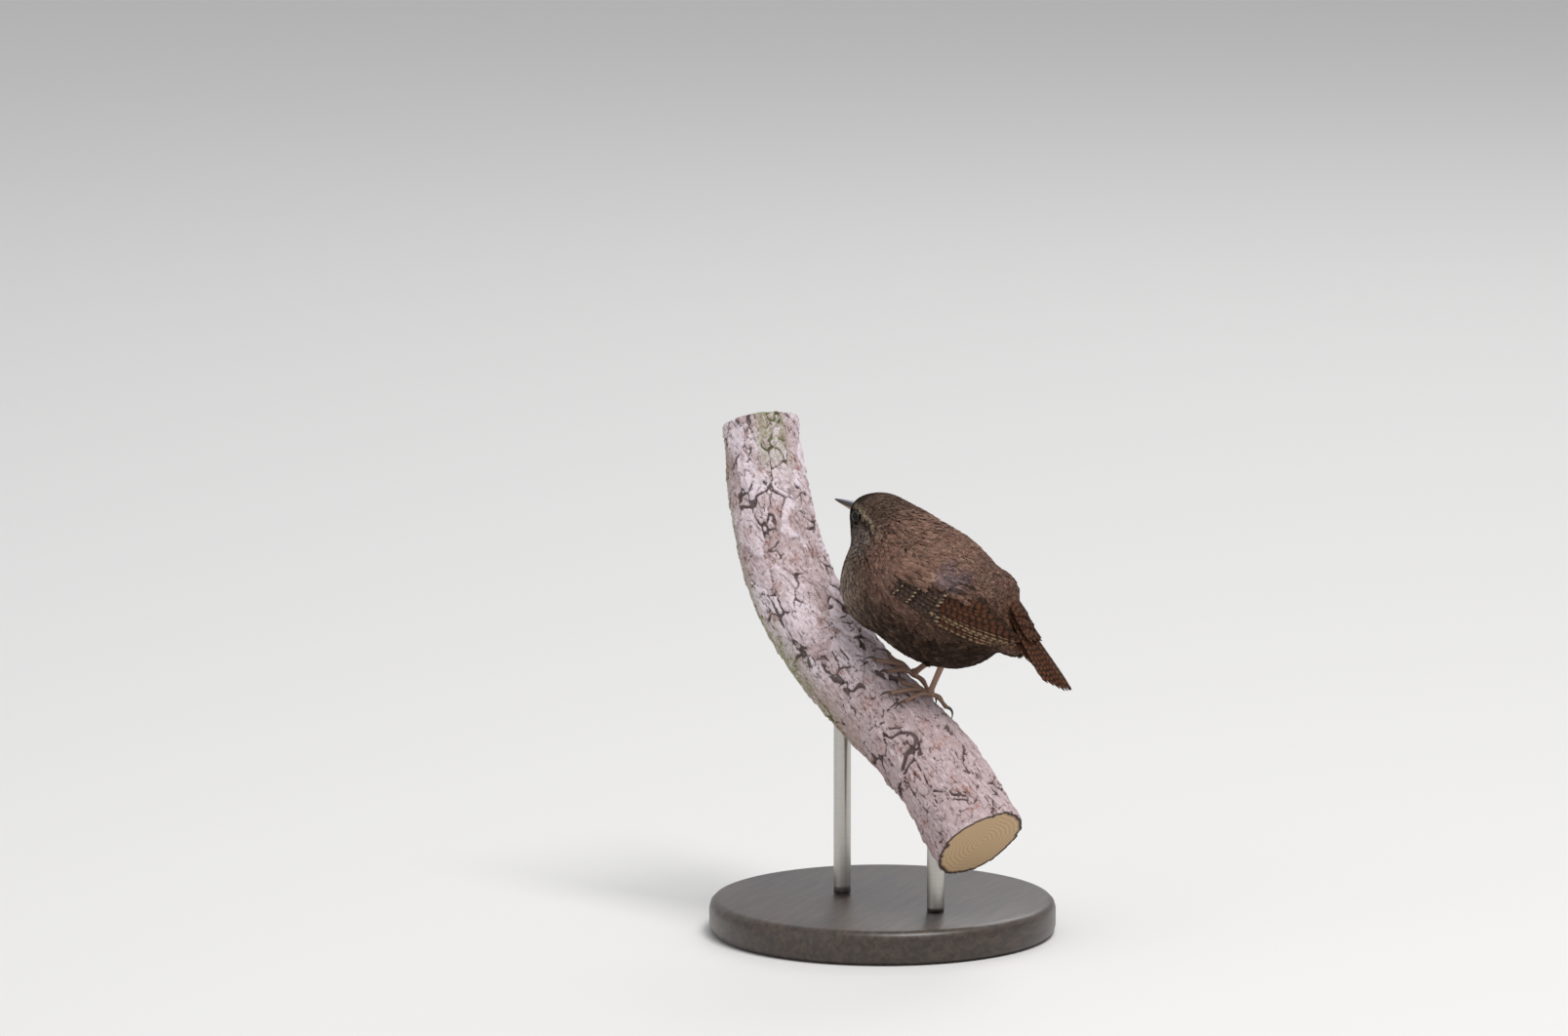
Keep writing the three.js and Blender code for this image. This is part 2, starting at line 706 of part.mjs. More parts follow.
for (const [name, foot] of Object.entries(FEET)) {
  const legSkin = material("leg", { roughness: 0.6 });
  const claw = material("claw", { roughness: 0.4 });
  const joint = footMiddle(foot, FOOT_BALL.height);
  const toes = TOES.map((toe) => toeSolid(foot, toe));
  const footBody = joined([ball(joint, FOOT_BALL.radius), ...toes]).subtract(branchGrown);
  place(`foot_${name}`, footBody, legSkin);
  for (const toe of TOES) place(`claw_${name}_${toe.name}`, clawSolid(foot, toe), claw);
  const rise = vector(foot.rise).normalize();
  const steps = 6;
  const shank = Array.from({ length: steps + 1 }, (_, i) =>
    joint.clone().addScaledVector(rise, (TARSUS.length * i) / steps),
  );
  const radii = shank.map((_, i) => THREE.MathUtils.lerp(TARSUS.radius, TARSUS.knee, (i / steps) ** 2));
  const footRoom = ball(joint, FOOT_BALL.radius + GAP);
  const leg = solid(tube(shank, radii, TARSUS.sides)).subtract(torsoGrown).subtract(footRoom);
  place(`leg_${name}`, leg, legSkin);
}

const base = new THREE.Shape().absarc(0, 0, BASE.radius - BASE.bevel, 0, 2 * Math.PI);
const plate = new THREE.ExtrudeGeometry(base, {
  depth: BASE.height - 2 * BASE.bevel,
  curveSegments: BASE.sides / 2,
  bevelThickness: BASE.bevel,
  bevelSize: BASE.bevel,
  bevelSegments: 2,
}).translate(-FEET_AT.x, -FEET_AT.y, BASE.bevel - FEET_AT.z);
place("stand_base", solid(plate), material("stand", { roughness: 0.5 }));

const metal = material("rod", { roughness: 0.35, metalness: 0.9 });
for (const [name, share] of Object.entries(RODS)) {
  const at = branchCurve.getPointAt(share);
  const foot = BASE.height + GAP - FEET_AT.z;
  const rod = new THREE.CylinderGeometry(ROD.radius, ROD.radius, at.z - foot, ROD.sides)
    .rotateX(Math.PI / 2)
    .translate(at.x, at.y, (at.z + foot) / 2);
  place(`stand_rod_${name}`, solid(rod).subtract(branchGrown), metal);
}

export default bird;
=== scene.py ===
from functools import cache

import bpy
import numpy as np
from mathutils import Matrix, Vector

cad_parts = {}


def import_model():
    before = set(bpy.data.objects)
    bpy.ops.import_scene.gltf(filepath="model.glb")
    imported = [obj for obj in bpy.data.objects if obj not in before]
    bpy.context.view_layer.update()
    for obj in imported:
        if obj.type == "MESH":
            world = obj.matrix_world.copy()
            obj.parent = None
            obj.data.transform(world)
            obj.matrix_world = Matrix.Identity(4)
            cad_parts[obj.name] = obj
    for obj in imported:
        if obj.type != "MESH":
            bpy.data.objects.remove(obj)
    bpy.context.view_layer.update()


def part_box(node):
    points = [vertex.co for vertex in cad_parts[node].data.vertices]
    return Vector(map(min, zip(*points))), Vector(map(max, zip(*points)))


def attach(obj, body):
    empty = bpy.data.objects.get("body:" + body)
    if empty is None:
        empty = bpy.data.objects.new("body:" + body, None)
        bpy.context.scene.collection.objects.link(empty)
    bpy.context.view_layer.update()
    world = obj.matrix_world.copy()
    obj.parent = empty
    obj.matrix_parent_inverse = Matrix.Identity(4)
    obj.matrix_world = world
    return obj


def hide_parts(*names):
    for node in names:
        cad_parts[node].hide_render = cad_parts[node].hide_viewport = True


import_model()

bl_info = {
    "name": "Perched wren model",
    "version": (1, 0, 0),
    "blender": (4, 5, 0),
    "location": "View3D > Sidebar > Wren",
    "description": "A life-size wren on a cut branch, with its coat, feathers, branch and stand",
    "category": "Add Mesh",
}

BODY = "root"
MM = 0.001
FEET_AT = np.array([4.0, 14.0, 74.0])  # the point between the feet, in mm from the base's underside
UP = np.array([0.0, 0.0, 1.0])


def angle(degrees):
    return np.radians(degrees)


def unit(v):
    v = np.asarray(v, float)
    return v / np.maximum(np.linalg.norm(v, axis=-1, keepdims=True), 1e-9)


def smooth(low, high, value):
    t = np.clip((value - low) / (high - low), 0, 1)
    return t * t * (3 - 2 * t)


def linear(colour):
    """A screen colour as the linear numbers that shaders use."""
    c = np.asarray(colour, float)
    return np.where(c <= 0.04045, c / 12.92, ((c + 0.055) / 1.055) ** 2.4)


def from_hex(text):
    return tuple(int(text[i : i + 2], 16) / 255 for i in (0, 2, 4))


# The bird's form: blended eggs, as in the solids


HEAD_YAW, HEAD_PITCH = angle(22), angle(13)
HEAD_MID = np.array([-0.8, -12.9, 46.8])
FORWARD = np.array(
    [-np.sin(HEAD_YAW) * np.cos(HEAD_PITCH), -np.cos(HEAD_YAW) * np.cos(HEAD_PITCH), np.sin(HEAD_PITCH)]
)
LEFT = np.array([np.cos(HEAD_YAW), -np.sin(HEAD_YAW), 0.0])
TOP = np.cross(FORWARD, LEFT)
TORSO_MID = np.array([0, 2.4, 27.2])
TORSO_PITCH = 35


def head_point(forward, left, up):
    ways = ((forward, FORWARD), (left, LEFT), (up, TOP))
    return HEAD_MID + sum(np.multiply.outer(amount, way) for amount, way in ways)


def body_axes(pitch):
    p = angle(pitch)
    return np.array([[1, 0, 0], [0, -np.cos(p), np.sin(p)], [0, np.sin(p), np.cos(p)]])


HEAD_AXES = np.array([LEFT, FORWARD, TOP])
EGGS = [
    (TORSO_MID, body_axes(TORSO_PITCH), (17.5, 25.6, 19.3)),
    (np.array([0, -11, 30.5]), body_axes(20), (14.5, 13, 15.5)),
    (np.array([-0.5, -6, 40.8]), body_axes(20), (12, 12.5, 10.6)),
    (np.array([0, 20.5, 27]), body_axes(-45), (9.5, 8.5, 8)),
    (np.array([0, 24, 18.2]), body_axes(50), (7.2, 9.5, 4.8)),
    (head_point(-0.6, 0, 0.2), HEAD_AXES, (8.2, 9.4, 7.9)),
    (head_point(5.6, 0, 0.2), HEAD_AXES, (4.9, 5.2, 4.9)),
    (head_point(0.2, 0, -4.2), HEAD_AXES, (7.7, 7.8, 6.6)),
    (head_point(-6.6, 0, -2.6), HEAD_AXES, (8.8, 8.8, 8.8)),
]
BLEND = 1.1


def form_distance(points):
    """How far points are outside the bird's surface, in mm; less than 0 inside."""
    total = 0
    for middle, axes, size in EGGS:
        local = (points - middle) @ axes.T
        scaled = local / np.array(size)
        level = np.linalg.norm(scaled, axis=-1)
        slope = np.linalg.norm(scaled / np.array(size), axis=-1)
        distance = np.where(slope > 1e-6, level * (level - 1) / np.maximum(slope, 1e-6), -min(size))
        total = total + np.exp(np.clip(-distance / BLEND, -60, 60))
    return -BLEND * np.log(total)


# Stations of the bird's middle line: place, pitch and yaw of the direction towards the bill
STATIONS = [
    (head_point(2.0, 0, -0.3), 15, 22),
    (head_point(-2.5, 0, -2.5), 33, 15),
    (np.array([-0.3, -6.5, 38]), 48, 5),
    (np.array([0, -1, 31.5]), 42, 0),
    (np.array([0, 8, 26.5]), 37, 0),
    (np.array([0, 16, 24]), 41, 0),
    (np.array([0, 20.5, 22.8]), 48, 0),
]
CAP_FRONT, CAP_REAR = 0.2, 0.82  # shares of the way down the bird where its round ends begin
MAP_ROWS, MAP_COLUMNS = 300, 288


def catmull(values, t):
    values = np.asarray(values, float)
    n = len(values) - 1
    x = np.clip(t, 0, 1) * n
    i = np.clip(x.astype(int), 0, n - 1)
    f = (x - i)[..., None]
    p0, p1 = values[np.maximum(i - 1, 0)], values[i]
    p2, p3 = values[i + 1], values[np.minimum(i + 2, n)]
    return 0.5 * (
        2 * p1 + (p2 - p0) * f + (2 * p0 - 5 * p1 + 4 * p2 - p3) * f**2 + (3 * p1 - p0 - 3 * p2 + p3) * f**3
    )


def line_of_sight(down, around):
    """Where the ray for a place on the bird starts, and which way it goes."""
    share = (down - CAP_FRONT) / (CAP_REAR - CAP_FRONT)
    start = catmull([s[0] for s in STATIONS], share)
    turned = catmull([[s[1], s[2]] for s in STATIONS], share)
    pitch, yaw = angle(turned[..., 0]), angle(turned[..., 1])
    ahead = np.stack([-np.sin(yaw) * np.cos(pitch), -np.cos(yaw) * np.cos(pitch), np.sin(pitch)], -1)
    left = np.stack([np.cos(yaw), -np.sin(yaw), 0 * yaw], -1)
    back_up = np.cross(ahead, left)
    polar = np.where(
        down < CAP_FRONT,
        np.pi / 2 * down / CAP_FRONT,
        np.where(down > CAP_REAR, np.pi / 2 * (1 + (down - CAP_REAR) / (1 - CAP_REAR)), np.pi / 2),
    )[..., None]
    ring = np.cos(around)[..., None] * back_up + np.sin(around)[..., None] * left
    return start, np.cos(polar) * ahead + np.sin(polar) * ring


def cast(down, around):
    start, ray = line_of_sight(down, around)
    near, far = np.zeros(start.shape[:-1]), np.full(start.shape[:-1], 45.0)
    for _ in range(18):
        half = (near + far) / 2
        inside = form_distance(start + ray * half[..., None]) < 0
        near, far = np.where(inside, half, near), np.where(inside, far, half)
    return start + ray * near[..., None]


class BodyMap:
    """The bird's surface as a grid, down it from bill (0) to tail (1) and around it from the back (0)."""

    def __init__(self):
        self.down = np.linspace(0.004, 0.996, MAP_ROWS)
        self.around = np.linspace(-np.pi, np.pi, MAP_COLUMNS, endpoint=False)
        grid = np.meshgrid(self.down, self.around, indexing="ij")
        self.place = cast(*grid)
        step = 0.15
        slopes = (form_distance(self.place + e) - form_distance(self.place - e) for e in step * np.eye(3))
        self.out = unit(np.stack(list(slopes), -1))
        lie = np.gradient(self.place, axis=0) / (self.down[1] - self.down[0])
        self.stretch = np.linalg.norm(lie, axis=-1)
        across = np.roll(self.place, -1, 1) - np.roll(self.place, 1, 1)
        self.girth = np.linalg.norm(across / (2 * (self.around[1] - self.around[0])), axis=-1)
        self.lie = unit(lie - (lie * self.out).sum(-1, keepdims=True) * self.out)

    def read(self, field, down, around):
        r = np.clip((down - self.down[0]) / (self.down[1] - self.down[0]), 0, MAP_ROWS - 1.001)
        c = ((around + np.pi) / (2 * np.pi) * MAP_COLUMNS) % MAP_COLUMNS
        i, j = r.astype(int), c.astype(int) % MAP_COLUMNS
        k = (j + 1) % MAP_COLUMNS
        fr, fc = r - i, c - np.floor(c)
        if field.ndim == 3:
            fr, fc = fr[..., None], fc[..., None]
        top = field[i, j] * (1 - fc) + field[i, k] * fc
        low = field[i + 1, j] * (1 - fc) + field[i + 1, k] * fc
        return top * (1 - fr) + low * fr


# Noise in numbers, for shapes and markings


def hashed(cell, seed):
    x, y, z = (cell[..., i].astype(np.int64) for i in range(3))
    h = (x * 73856093) ^ (y * 19349663) ^ (z * 83492791) ^ (seed * 2654435761)
    h = (h ^ (h >> 13)) * 1274126177
    return ((h ^ (h >> 16)) & 0xFFFFFF) / float(0xFFFFFF)


def noise(points, size, seed=1):
    """Smooth noise from 0 to 1 with lumps of a given size."""
    p = np.asarray(points, float) / size
    cell = np.floor(p)
    f = p - cell
    f = f * f * (3 - 2 * f)
    value = 0
    for corner in np.ndindex(2, 2, 2):
        weight = np.prod(np.where(np.array(corner) == 1, f, 1 - f), axis=-1)
        value = value + weight * hashed(cell + np.array(corner), seed)
    return value


def cells(points, seed=1):
    """Scattered cells: how far along its cell each point is, distance to the edge, and the cell's number."""
    cell = np.floor(points)
    first = np.full(points.shape[:-1], 9.0)
    second = np.full(points.shape[:-1], 9.0)
    own, ahead = np.zeros(points.shape[:-1]), np.zeros(points.shape[:-1])
    for offset in np.ndindex(3, 3, 3):
        at = cell + np.array(offset) - 1
        spot = at + np.stack([hashed(at, seed + i) for i in range(3)], -1)
        distance = np.linalg.norm(points - spot, axis=-1)
        nearer = distance < first
        second = np.where(nearer, first, np.minimum(second, distance))
        own = np.where(nearer, hashed(at, seed + 7), own)
        ahead = np.where(nearer, (points - spot)[..., 2], ahead)
        first = np.where(nearer, distance, first)
    return ahead, second - first, own


# Meshes from arrays


def world(points):
    return (np.asarray(points, float) + FEET_AT) * MM


def make_mesh(name, points, faces, uv=None, maps=None, colour=None, smooth_shade=True):
    """points in mm from the feet, faces as arrays of triangles or quads, uv and maps per point."""
    points = world(np.asarray(points).reshape(-1, 3))
    faces = [np.asarray(f).reshape(-1, np.shape(f)[-1]) for f in faces if len(f)]
    loops = np.concatenate([f.ravel() for f in faces])
    sizes = np.concatenate([np.full(len(f), f.shape[1]) for f in faces])
    mesh = bpy.data.meshes.new(name)
    mesh.vertices.add(len(points))
    mesh.vertices.foreach_set("co", points.astype(np.float32).ravel())
    mesh.loops.add(len(loops))
    mesh.loops.foreach_set("vertex_index", loops.astype(np.int32))
    mesh.polygons.add(len(sizes))
    mesh.polygons.foreach_set("loop_start", np.concatenate([[0], np.cumsum(sizes)[:-1]]).astype(np.int32))
    mesh.polygons.foreach_set("loop_total", sizes.astype(np.int32))
    mesh.polygons.foreach_set("use_smooth", np.full(len(sizes), smooth_shade))
    for map_name, values in {**({"OFBake": uv} if uv is not None else {}), **(maps or {})}.items():
        layer = mesh.uv_layers.new(name=map_name)
        flat = np.asarray(values, float).reshape(-1, 2)[loops]
        layer.data.foreach_set("uv", flat.astype(np.float32).ravel())
    if colour is not None:
        layer = mesh.attributes.new("plumage", "FLOAT_COLOR", "POINT")
        rgba = np.ones((len(points), 4), np.float32)
        rgba[:, :3] = np.clip(np.asarray(colour).reshape(-1, 3), 0, 1)
        layer.data.foreach_set("color", rgba.ravel())
    mesh.update()
    mesh.validate()
    piece = bpy.data.objects.new(name, mesh)
    bpy.context.scene.collection.objects.link(piece)
    return piece


def settle(piece, material, slot, *nodes):
    """Gives a piece its material and says what it rides on and stands for."""
    piece.data.materials.append(material)
    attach(piece, BODY)
    if nodes:
        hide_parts(*nodes)
    return piece


def ring_faces(rows, columns, flip=False):
    """Quads between closed rings of points, and fans from the end rings to the two points after them."""
    i, k = np.meshgrid(np.arange(rows - 1), np.arange(columns), indexing="ij")
    j = (k + 1) % columns
    near, far = i * columns, (i + 1) * columns
    quads = np.stack([near + k, near + j, far + j, far + k], -1).reshape(-1, 4)
    k, j, last, middle = k[0], j[0], (rows - 1) * columns, np.full(columns, rows * columns)
    fans = np.concatenate([np.stack([middle, j, k], -1), np.stack([middle + 1, last + k, last + j], -1)])
    return tuple(np.roll(faces[:, ::-1], 1, 1) if flip else faces for faces in (quads, fans))


def tube(path, radii, sides, flat=1.0, side_hint=None):
    """A closed round tube: its points, faces and a map of how far along and round it each point is."""
    path, radii = np.asarray(path, float), np.asarray(radii, float)
    along = unit(np.gradient(path, axis=0))
    hint = np.asarray(UP if side_hint is None else side_hint, float)
    one = unit(hint - (along @ hint)[:, None] * along)
    two = np.cross(along, one)
    turn = np.linspace(0, 2 * np.pi, sides, endpoint=False)
    rings = (
        path[:, None]
        + (one[:, None] * np.cos(turn)[None, :, None] + two[:, None] * np.sin(turn)[None, :, None] * flat)
        * radii[:, None, None]
    )
    n = len(path)
    length = np.concatenate([[0], np.cumsum(np.linalg.norm(np.diff(path, axis=0), axis=1))])
    points = np.concatenate([rings.reshape(-1, 3), path[:1], path[-1:]])
    share = np.concatenate([np.repeat(length, sides), [0, length[-1]]])
    turned = np.concatenate([np.tile(turn / (2 * np.pi), n), [0, 0]])
    return points, *ring_faces(n, sides), np.stack([turned, share], -1)


def gather(parts):
    """Joins several (points, quads, triangles, map) sets into one."""
    offset, points, quads, triangles, maps = 0, [], [], [], []
    for p, q, t, m in parts:
        points.append(p)
        quads.append(q + offset)
        triangles.append(t + offset)
        maps.append(m)
        offset += len(p)
    return np.concatenate(points), np.concatenate(quads), np.concatenate(triangles), np.concatenate(maps)


# Materials


class Value:
    """A value that varies over a surface. Arithmetic on it adds Math nodes."""

    def __init__(self, finish, socket):
        self.finish, self.socket = finish, socket

    def _math(self, operation, *values):
        return self.finish.add("ShaderNodeMath", {"operation": operation}, dict(enumerate(values)))

    def __add__(self, other):
        return self._math("ADD", self, other)

    def __sub__(self, other):
        return self._math("SUBTRACT", self, other)

    def __rsub__(self, other):
        return self._math("SUBTRACT", other, self)

    def __mul__(self, other):
        return self._math("MULTIPLY", self, other)

    def __pow__(self, other):
        return self._math("POWER", self, other)

    def sine(self):
        return self._math("SINE", self)

    def size(self):
        return self._math("ABSOLUTE", self)

    def most(self, other):
        return self._math("MAXIMUM", self, other)

    def over(self, low, high):
        """0 below low, 1 above high, smooth between."""
        sockets = {0: self, 1: low, 2: high, 3: 0.0, 4: 1.0}
        return self.finish.add("ShaderNodeMapRange", {"interpolation_type": "SMOOTHSTEP"}, sockets)

    __radd__ = __add__
    __rmul__ = __mul__


class Finish:
    """A material whose nodes are added by type, settings and sockets."""

    def __init__(self, name, **constants):
        self.material = bpy.data.materials.new(name)
        self.material.use_nodes = True
        self.nodes = self.material.node_tree.nodes
        self.shader = self.nodes["Principled BSDF"]
        for socket, value in constants.items():
            self.shader.inputs[socket.replace("_", " ").title().replace("Ior", "IOR")].default_value = value

    def add(self, kind, settings=None, sockets=None, output=0):
        node = self.nodes.new(kind)
        for name, value in (settings or {}).items():
            if name == "stops":
                ramp = node.color_ramp
                while len(ramp.elements) < len(value):
                    ramp.elements.new(1)
                for element, (place, colour) in zip(ramp.elements, value):
                    element.position, element.color = place, (*colour, 1)
            else:
                setattr(node, name, value)
        for name, value in (sockets or {}).items():
            self.feed(node.inputs[name], value)
        return Value(self, node.outputs[output])

    def feed(self, socket, value):
        if isinstance(value, Value):
            self.material.node_tree.links.new(value.socket, socket)
        elif hasattr(socket.default_value, "__len__") and len(socket.default_value) == 4 and len(value) == 3:
            socket.default_value = (*value, 1)
        else:
            socket.default_value = value

    def mix(self, first, second, factor, blend="MIX"):
        """Two colours mixed by a factor."""
        return self.add(
            "ShaderNodeMix",
            {"data_type": "RGBA", "blend_type": blend, "clamp_factor": True},
            {0: factor, 6: first, 7: second},
            output=2,
        )

    def place(self):
        return self.add("ShaderNodeTexCoord", output="Object")

    def stretched(self, way, times):
        """Places drawn out along a direction."""
        turn = Vector(way).to_track_quat("Z", "Y").to_euler()
        sockets = {"Vector": self.place(), "Rotation": turn, "Scale": (1, 1, times)}
        return self.add("ShaderNodeMapping", {"vector_type": "TEXTURE"}, sockets)

    def noise(self, size_mm, detail=2.0, rough=0.5, where=None, distort=0.0):
        sockets = {"Scale": 1 / (size_mm * MM), "Detail": detail, "Roughness": rough, "Distortion": distort}
        return self.add("ShaderNodeTexNoise", None, {"Vector": where or self.place(), **sockets})

    def map(self, name):
        """The two numbers of a map of the mesh."""
        both = self.add("ShaderNodeUVMap", {"uv_map": name})
        node = self.add("ShaderNodeSeparateXYZ", None, {0: both}).socket.node
        return Value(self, node.outputs[0]), Value(self, node.outputs[1])

    def bump(self, height, strength, distance_mm):
        sockets = {"Height": height, "Strength": strength, "Distance": distance_mm * MM}
        self.feed(self.shader.inputs["Normal"], self.add("ShaderNodeBump", None, sockets))

    def set(self, **links):
        for socket, value in links.items():
            self.feed(self.shader.inputs[socket.replace("_", " ").title()], value)
        return self.material


def paint(colour):
    return tuple(linear(colour))


# Fixed tones, as linear numbers
COVERT_BROWN, SOOT, TIP_WHITE = (0.05, 0.034, 0.026), (0.012, 0.008, 0.006), (0.5, 0.46, 0.4)
PUPIL, IRIS = (0.002, 0.0015, 0.0015), (0.009, 0.005, 0.003)
LID_PALE, LID_DARK = (0.045, 0.033, 0.026), (0.02, 0.015, 0.012)
# The upper bill's pale blue-grey top tone is a painted highlight.
BILL_DARK, BILL_PAINTED_HIGHLIGHT, BILL_SCUFF = (0.05, 0.042, 0.042), (0.32, 0.34, 0.4), (0.25, 0.22, 0.2)
BILL_ROOT, BILL_TIP = (0.30, 0.22, 0.16), (0.07, 0.055, 0.05)
WOOD_RING = (0.36, 0.2, 0.1)
LEG_DARK, LEG_PALE = (0.15, 0.075, 0.045), (0.33, 0.2, 0.14)
CLAW_ROOT, CLAW_TIP = (0.13, 0.08, 0.055), (0.035, 0.024, 0.02)
STAND_DARK, STAND_PALE = (0.028, 0.02, 0.015), (0.075, 0.05, 0.036)
METAL_DARK, METAL_PALE = (0.42, 0.40, 0.37), (0.6, 0.58, 0.54)
FLOOR_GREY, SKY_GREY = (0.72, 0.71, 0.695), (0.86, 0.87, 0.9)


# Sizes and colours that a user would change


def colour_property(name, description, text):
    return bpy.props.FloatVectorProperty(
        name=name, description=description, default=from_hex(text), subtype="COLOR", size=3, min=0, max=1
    )


def length_property(name, description, millimetres):
    size = millimetres * MM
    return bpy.props.FloatProperty(name=name, description=description, default=size, unit="LENGTH")


def angle_property(name, description, degrees):
    turn = angle(degrees)
    return bpy.props.FloatProperty(name=name, description=description, default=turn, unit="ROTATION")


class WrenPlumageColours(bpy.types.PropertyGroup):
    back: colour_property("Back", "Ground colour of the mantle and back", "73574b")
    crown: colour_property("Crown", "Top of the head and nape", "524036")
    rump: colour_property("Rump", "Rump and coverts over the tail", "6e4a36")
    brow: colour_property("Brow", "Pale stripe over the eye", "b9a68c")
    cheek: colour_property("Cheek", "Pale specks of the cheek", "837972")
    # The throat tone's reach down the breast's front is partly a painted highlight there.
    throat: colour_property("Throat", "Throat and front of the breast", "8b7c72")
    breast: colour_property("Breast", "Sides of the breast", "4f3e33")
    # The belly tone is partly the plumage's own dark colour, partly painted shade of the underside.
    belly: colour_property("Belly", "Belly and flanks", "2f1e12")
    bars: colour_property("Bars", "Dark bars and streaks", "1a120d")
    flecks: colour_property("Flecks", "Pale tips of small feathers", "8c7564")
    flight: colour_property("Flight feathers", "Rufous ground of the wing and tail", "57331f")
    ruffled: colour_property("Ruffled patch", "Grey bases that show where feathers part", "6b6470")
    spots: colour_property("Spots", "Buff spots along the wing's edge", "b09a78")


class WrenCoatSizes(bpy.types.PropertyGroup):
    body_length: length_property("Body feather", "Length of a feather of the back", 5.6)
    head_length: length_property("Head feather", "Length of a feather of the crown", 2.6)
    depth: length_property("Coat depth", "How deep the skin lies under the coat", 1.3)
    row_gap: length_property("Row gap", "Distance between rows of body feathers", 0.75)
    seed: bpy.props.IntProperty(name="Seed", description="Picks the random draw", default=7)


class WrenBranchSizes(bpy.types.PropertyGroup):
    plate_relief: length_property("Bark relief", "Height of the bark's plates", 0.8)
    bark: colour_property("Bark", "Outer bark", "b39c9b")
    bark_pale: colour_property("Pale bark", "Weathered faces of the plates", "e2d4da")
    # The crack tone is partly painted shade under the lifted plate edges.
    bark_dark: colour_property("Cracks", "Cracks between the plates", "40302a")
    bark_red: colour_property("Peeled bark", "Patches where a plate has peeled", "96604c")
    sawn: colour_property("Sawn wood", "The two cut ends", "cbae88")
    moss: colour_property("Moss", "Moss on the upper length", "6f7d33")


class WrenStageSizes(bpy.types.PropertyGroup):
    azimuth: angle_property("Azimuth", "Camera's way round the bird", 112)
    elevation: angle_property("Elevation", "Camera's angle over the level", 10)
    distance: length_property("Distance", "Camera to the bird", 3750)
    view_width: length_property("View width", "Width of the view at the bird", 450)


GROUPS = {
    "wren_colours": WrenPlumageColours,
    "wren_coat": WrenCoatSizes,
    "wren_branch": WrenBranchSizes,
    "wren_stage": WrenStageSizes,
}
CLASSES = list(GROUPS.values())
OPERATORS = []


def settings(name):
    return getattr(bpy.context.scene, name)


def piece_operator(cls):
    """Adds an operator class to those that are registered and run."""
    CLASSES.append(cls)
    OPERATORS.append(cls)
    return cls


@cache
def body_map():
    return BodyMap()


# Markings, shared by skin and coat


RUFFLED_AT = np.array([16.0, 12.5, 35.5])  # a parted spot over the left wing


def head_local(points):
    return (points - HEAD_MID) @ HEAD_AXES.T


def markings(points, down, around, tip=0.0):
    """The plumage's colour at points. tip runs from 0 at a feather's root to 1 at its tip."""
    c = settings("wren_colours")
    names = "back crown rump brow cheek throat breast belly bars flecks ruffled".split()
    hue = {name: linear(getattr(c, name)) for name in names}
    local = head_local(points)
    side, ahead, high = np.abs(local[..., 0]), local[..., 1], local[..., 2]
    turned = np.abs(around)

    def lay(colour, over, mask):
        return colour + (over - colour) * np.clip(mask, 0, 1)[..., None]

    colour = np.broadcast_to(hue["back"], points.shape).copy()
    on_head = smooth(0.36, 0.26, down)
    colour = lay(colour, hue["crown"], on_head)
    colour = lay(colour, hue["rump"], smooth(0.66, 0.86, down) * smooth(1.9, 1.2, turned))
    # Belly and flanks: dark plumage, darkened further as painted shade of the underside.
    under = smooth(1.75, 2.25, turned)
    colour = lay(colour, hue["belly"], under * smooth(0.3, 0.45, down))
    breast = smooth(1.5, 2.1, turned) * smooth(0.44, 0.3, down)
    colour = lay(colour, hue["breast"], breast)
    # The pale throat reaches down the breast's front: partly its own pale colour, partly a painted highlight
    # of bounced light on the breast.
    throat = smooth(1.9, 2.6, turned) * smooth(0.5, 0.28, down)
    colour = lay(colour, hue["throat"], throat)
    colour = lay(colour, hue["brow"], throat * smooth(0.5, 0.62, noise(points, 1.1, 15)) * 0.45)
    cheek = smooth(0.2, -1.2, high) * smooth(-6.5, -3.5, ahead) * smooth(-8.5, -6.5, high) * on_head
    speck = smooth(0.46, 0.62, noise(points, 0.8, 3))
    colour = lay(colour, hue["cheek"], cheek * (0.25 + 0.7 * speck) * smooth(2.5, 4, side))
    fleck = smooth(0.52, 0.66, noise(points, 1.5, 5)) * (1 - on_head * 0.4)
    colour = lay(colour, hue["flecks"], fleck * 0.5 * (0.3 + 0.7 * np.asarray(tip)))
    ruffled = np.linalg.norm((points - RUFFLED_AT)[..., 1:] / [3.2, 5.2], axis=-1)
    parted = smooth(1.1, 0.5, ruffled + noise(points, 1.5, 12) * 0.3) * (points[..., 0] > 6)
    colour = lay(colour, hue["ruffled"], parted * 0.8)
    patch = [np.linalg.norm(points - eye_place(s), axis=-1) for s in (1, -1)]
    colour = lay(colour, hue["bars"], smooth(3.6, 2.2, np.min(patch, axis=0)) * 0.8)
    # The stripe starts over the lore and runs back over the eye to the nape
    line = 3.1 - 0.03 * (ahead - 4) ** 2
    brow = smooth(0.95, 0.35, np.abs(high - line)) * smooth(2.2, 3.4, side)
    brow = brow * smooth(-7.5, -4, ahead) * smooth(9.4, 8, ahead)
    colour = lay(colour, hue["brow"], brow * (0.25 + 0.5 * noise(points, 0.7, 9)))
    lore = smooth(1.15, 0.5, np.abs(high - 1.2 + 0.02 * ahead))
    lore = lore * smooth(-4, 0.5, ahead) * smooth(2.0, 3.2, side)
    colour = lay(colour, hue["bars"], 0.92 * lore)
    moustache = smooth(0.55, 0.2, np.abs(high + 2.6 + 0.25 * (ahead - 5)))
    moustache = moustache * smooth(-2, 2, ahead) * smooth(1.8, 3, side)
    colour = lay(colour, hue["bars"], 0.55 * moustache)
    return colour


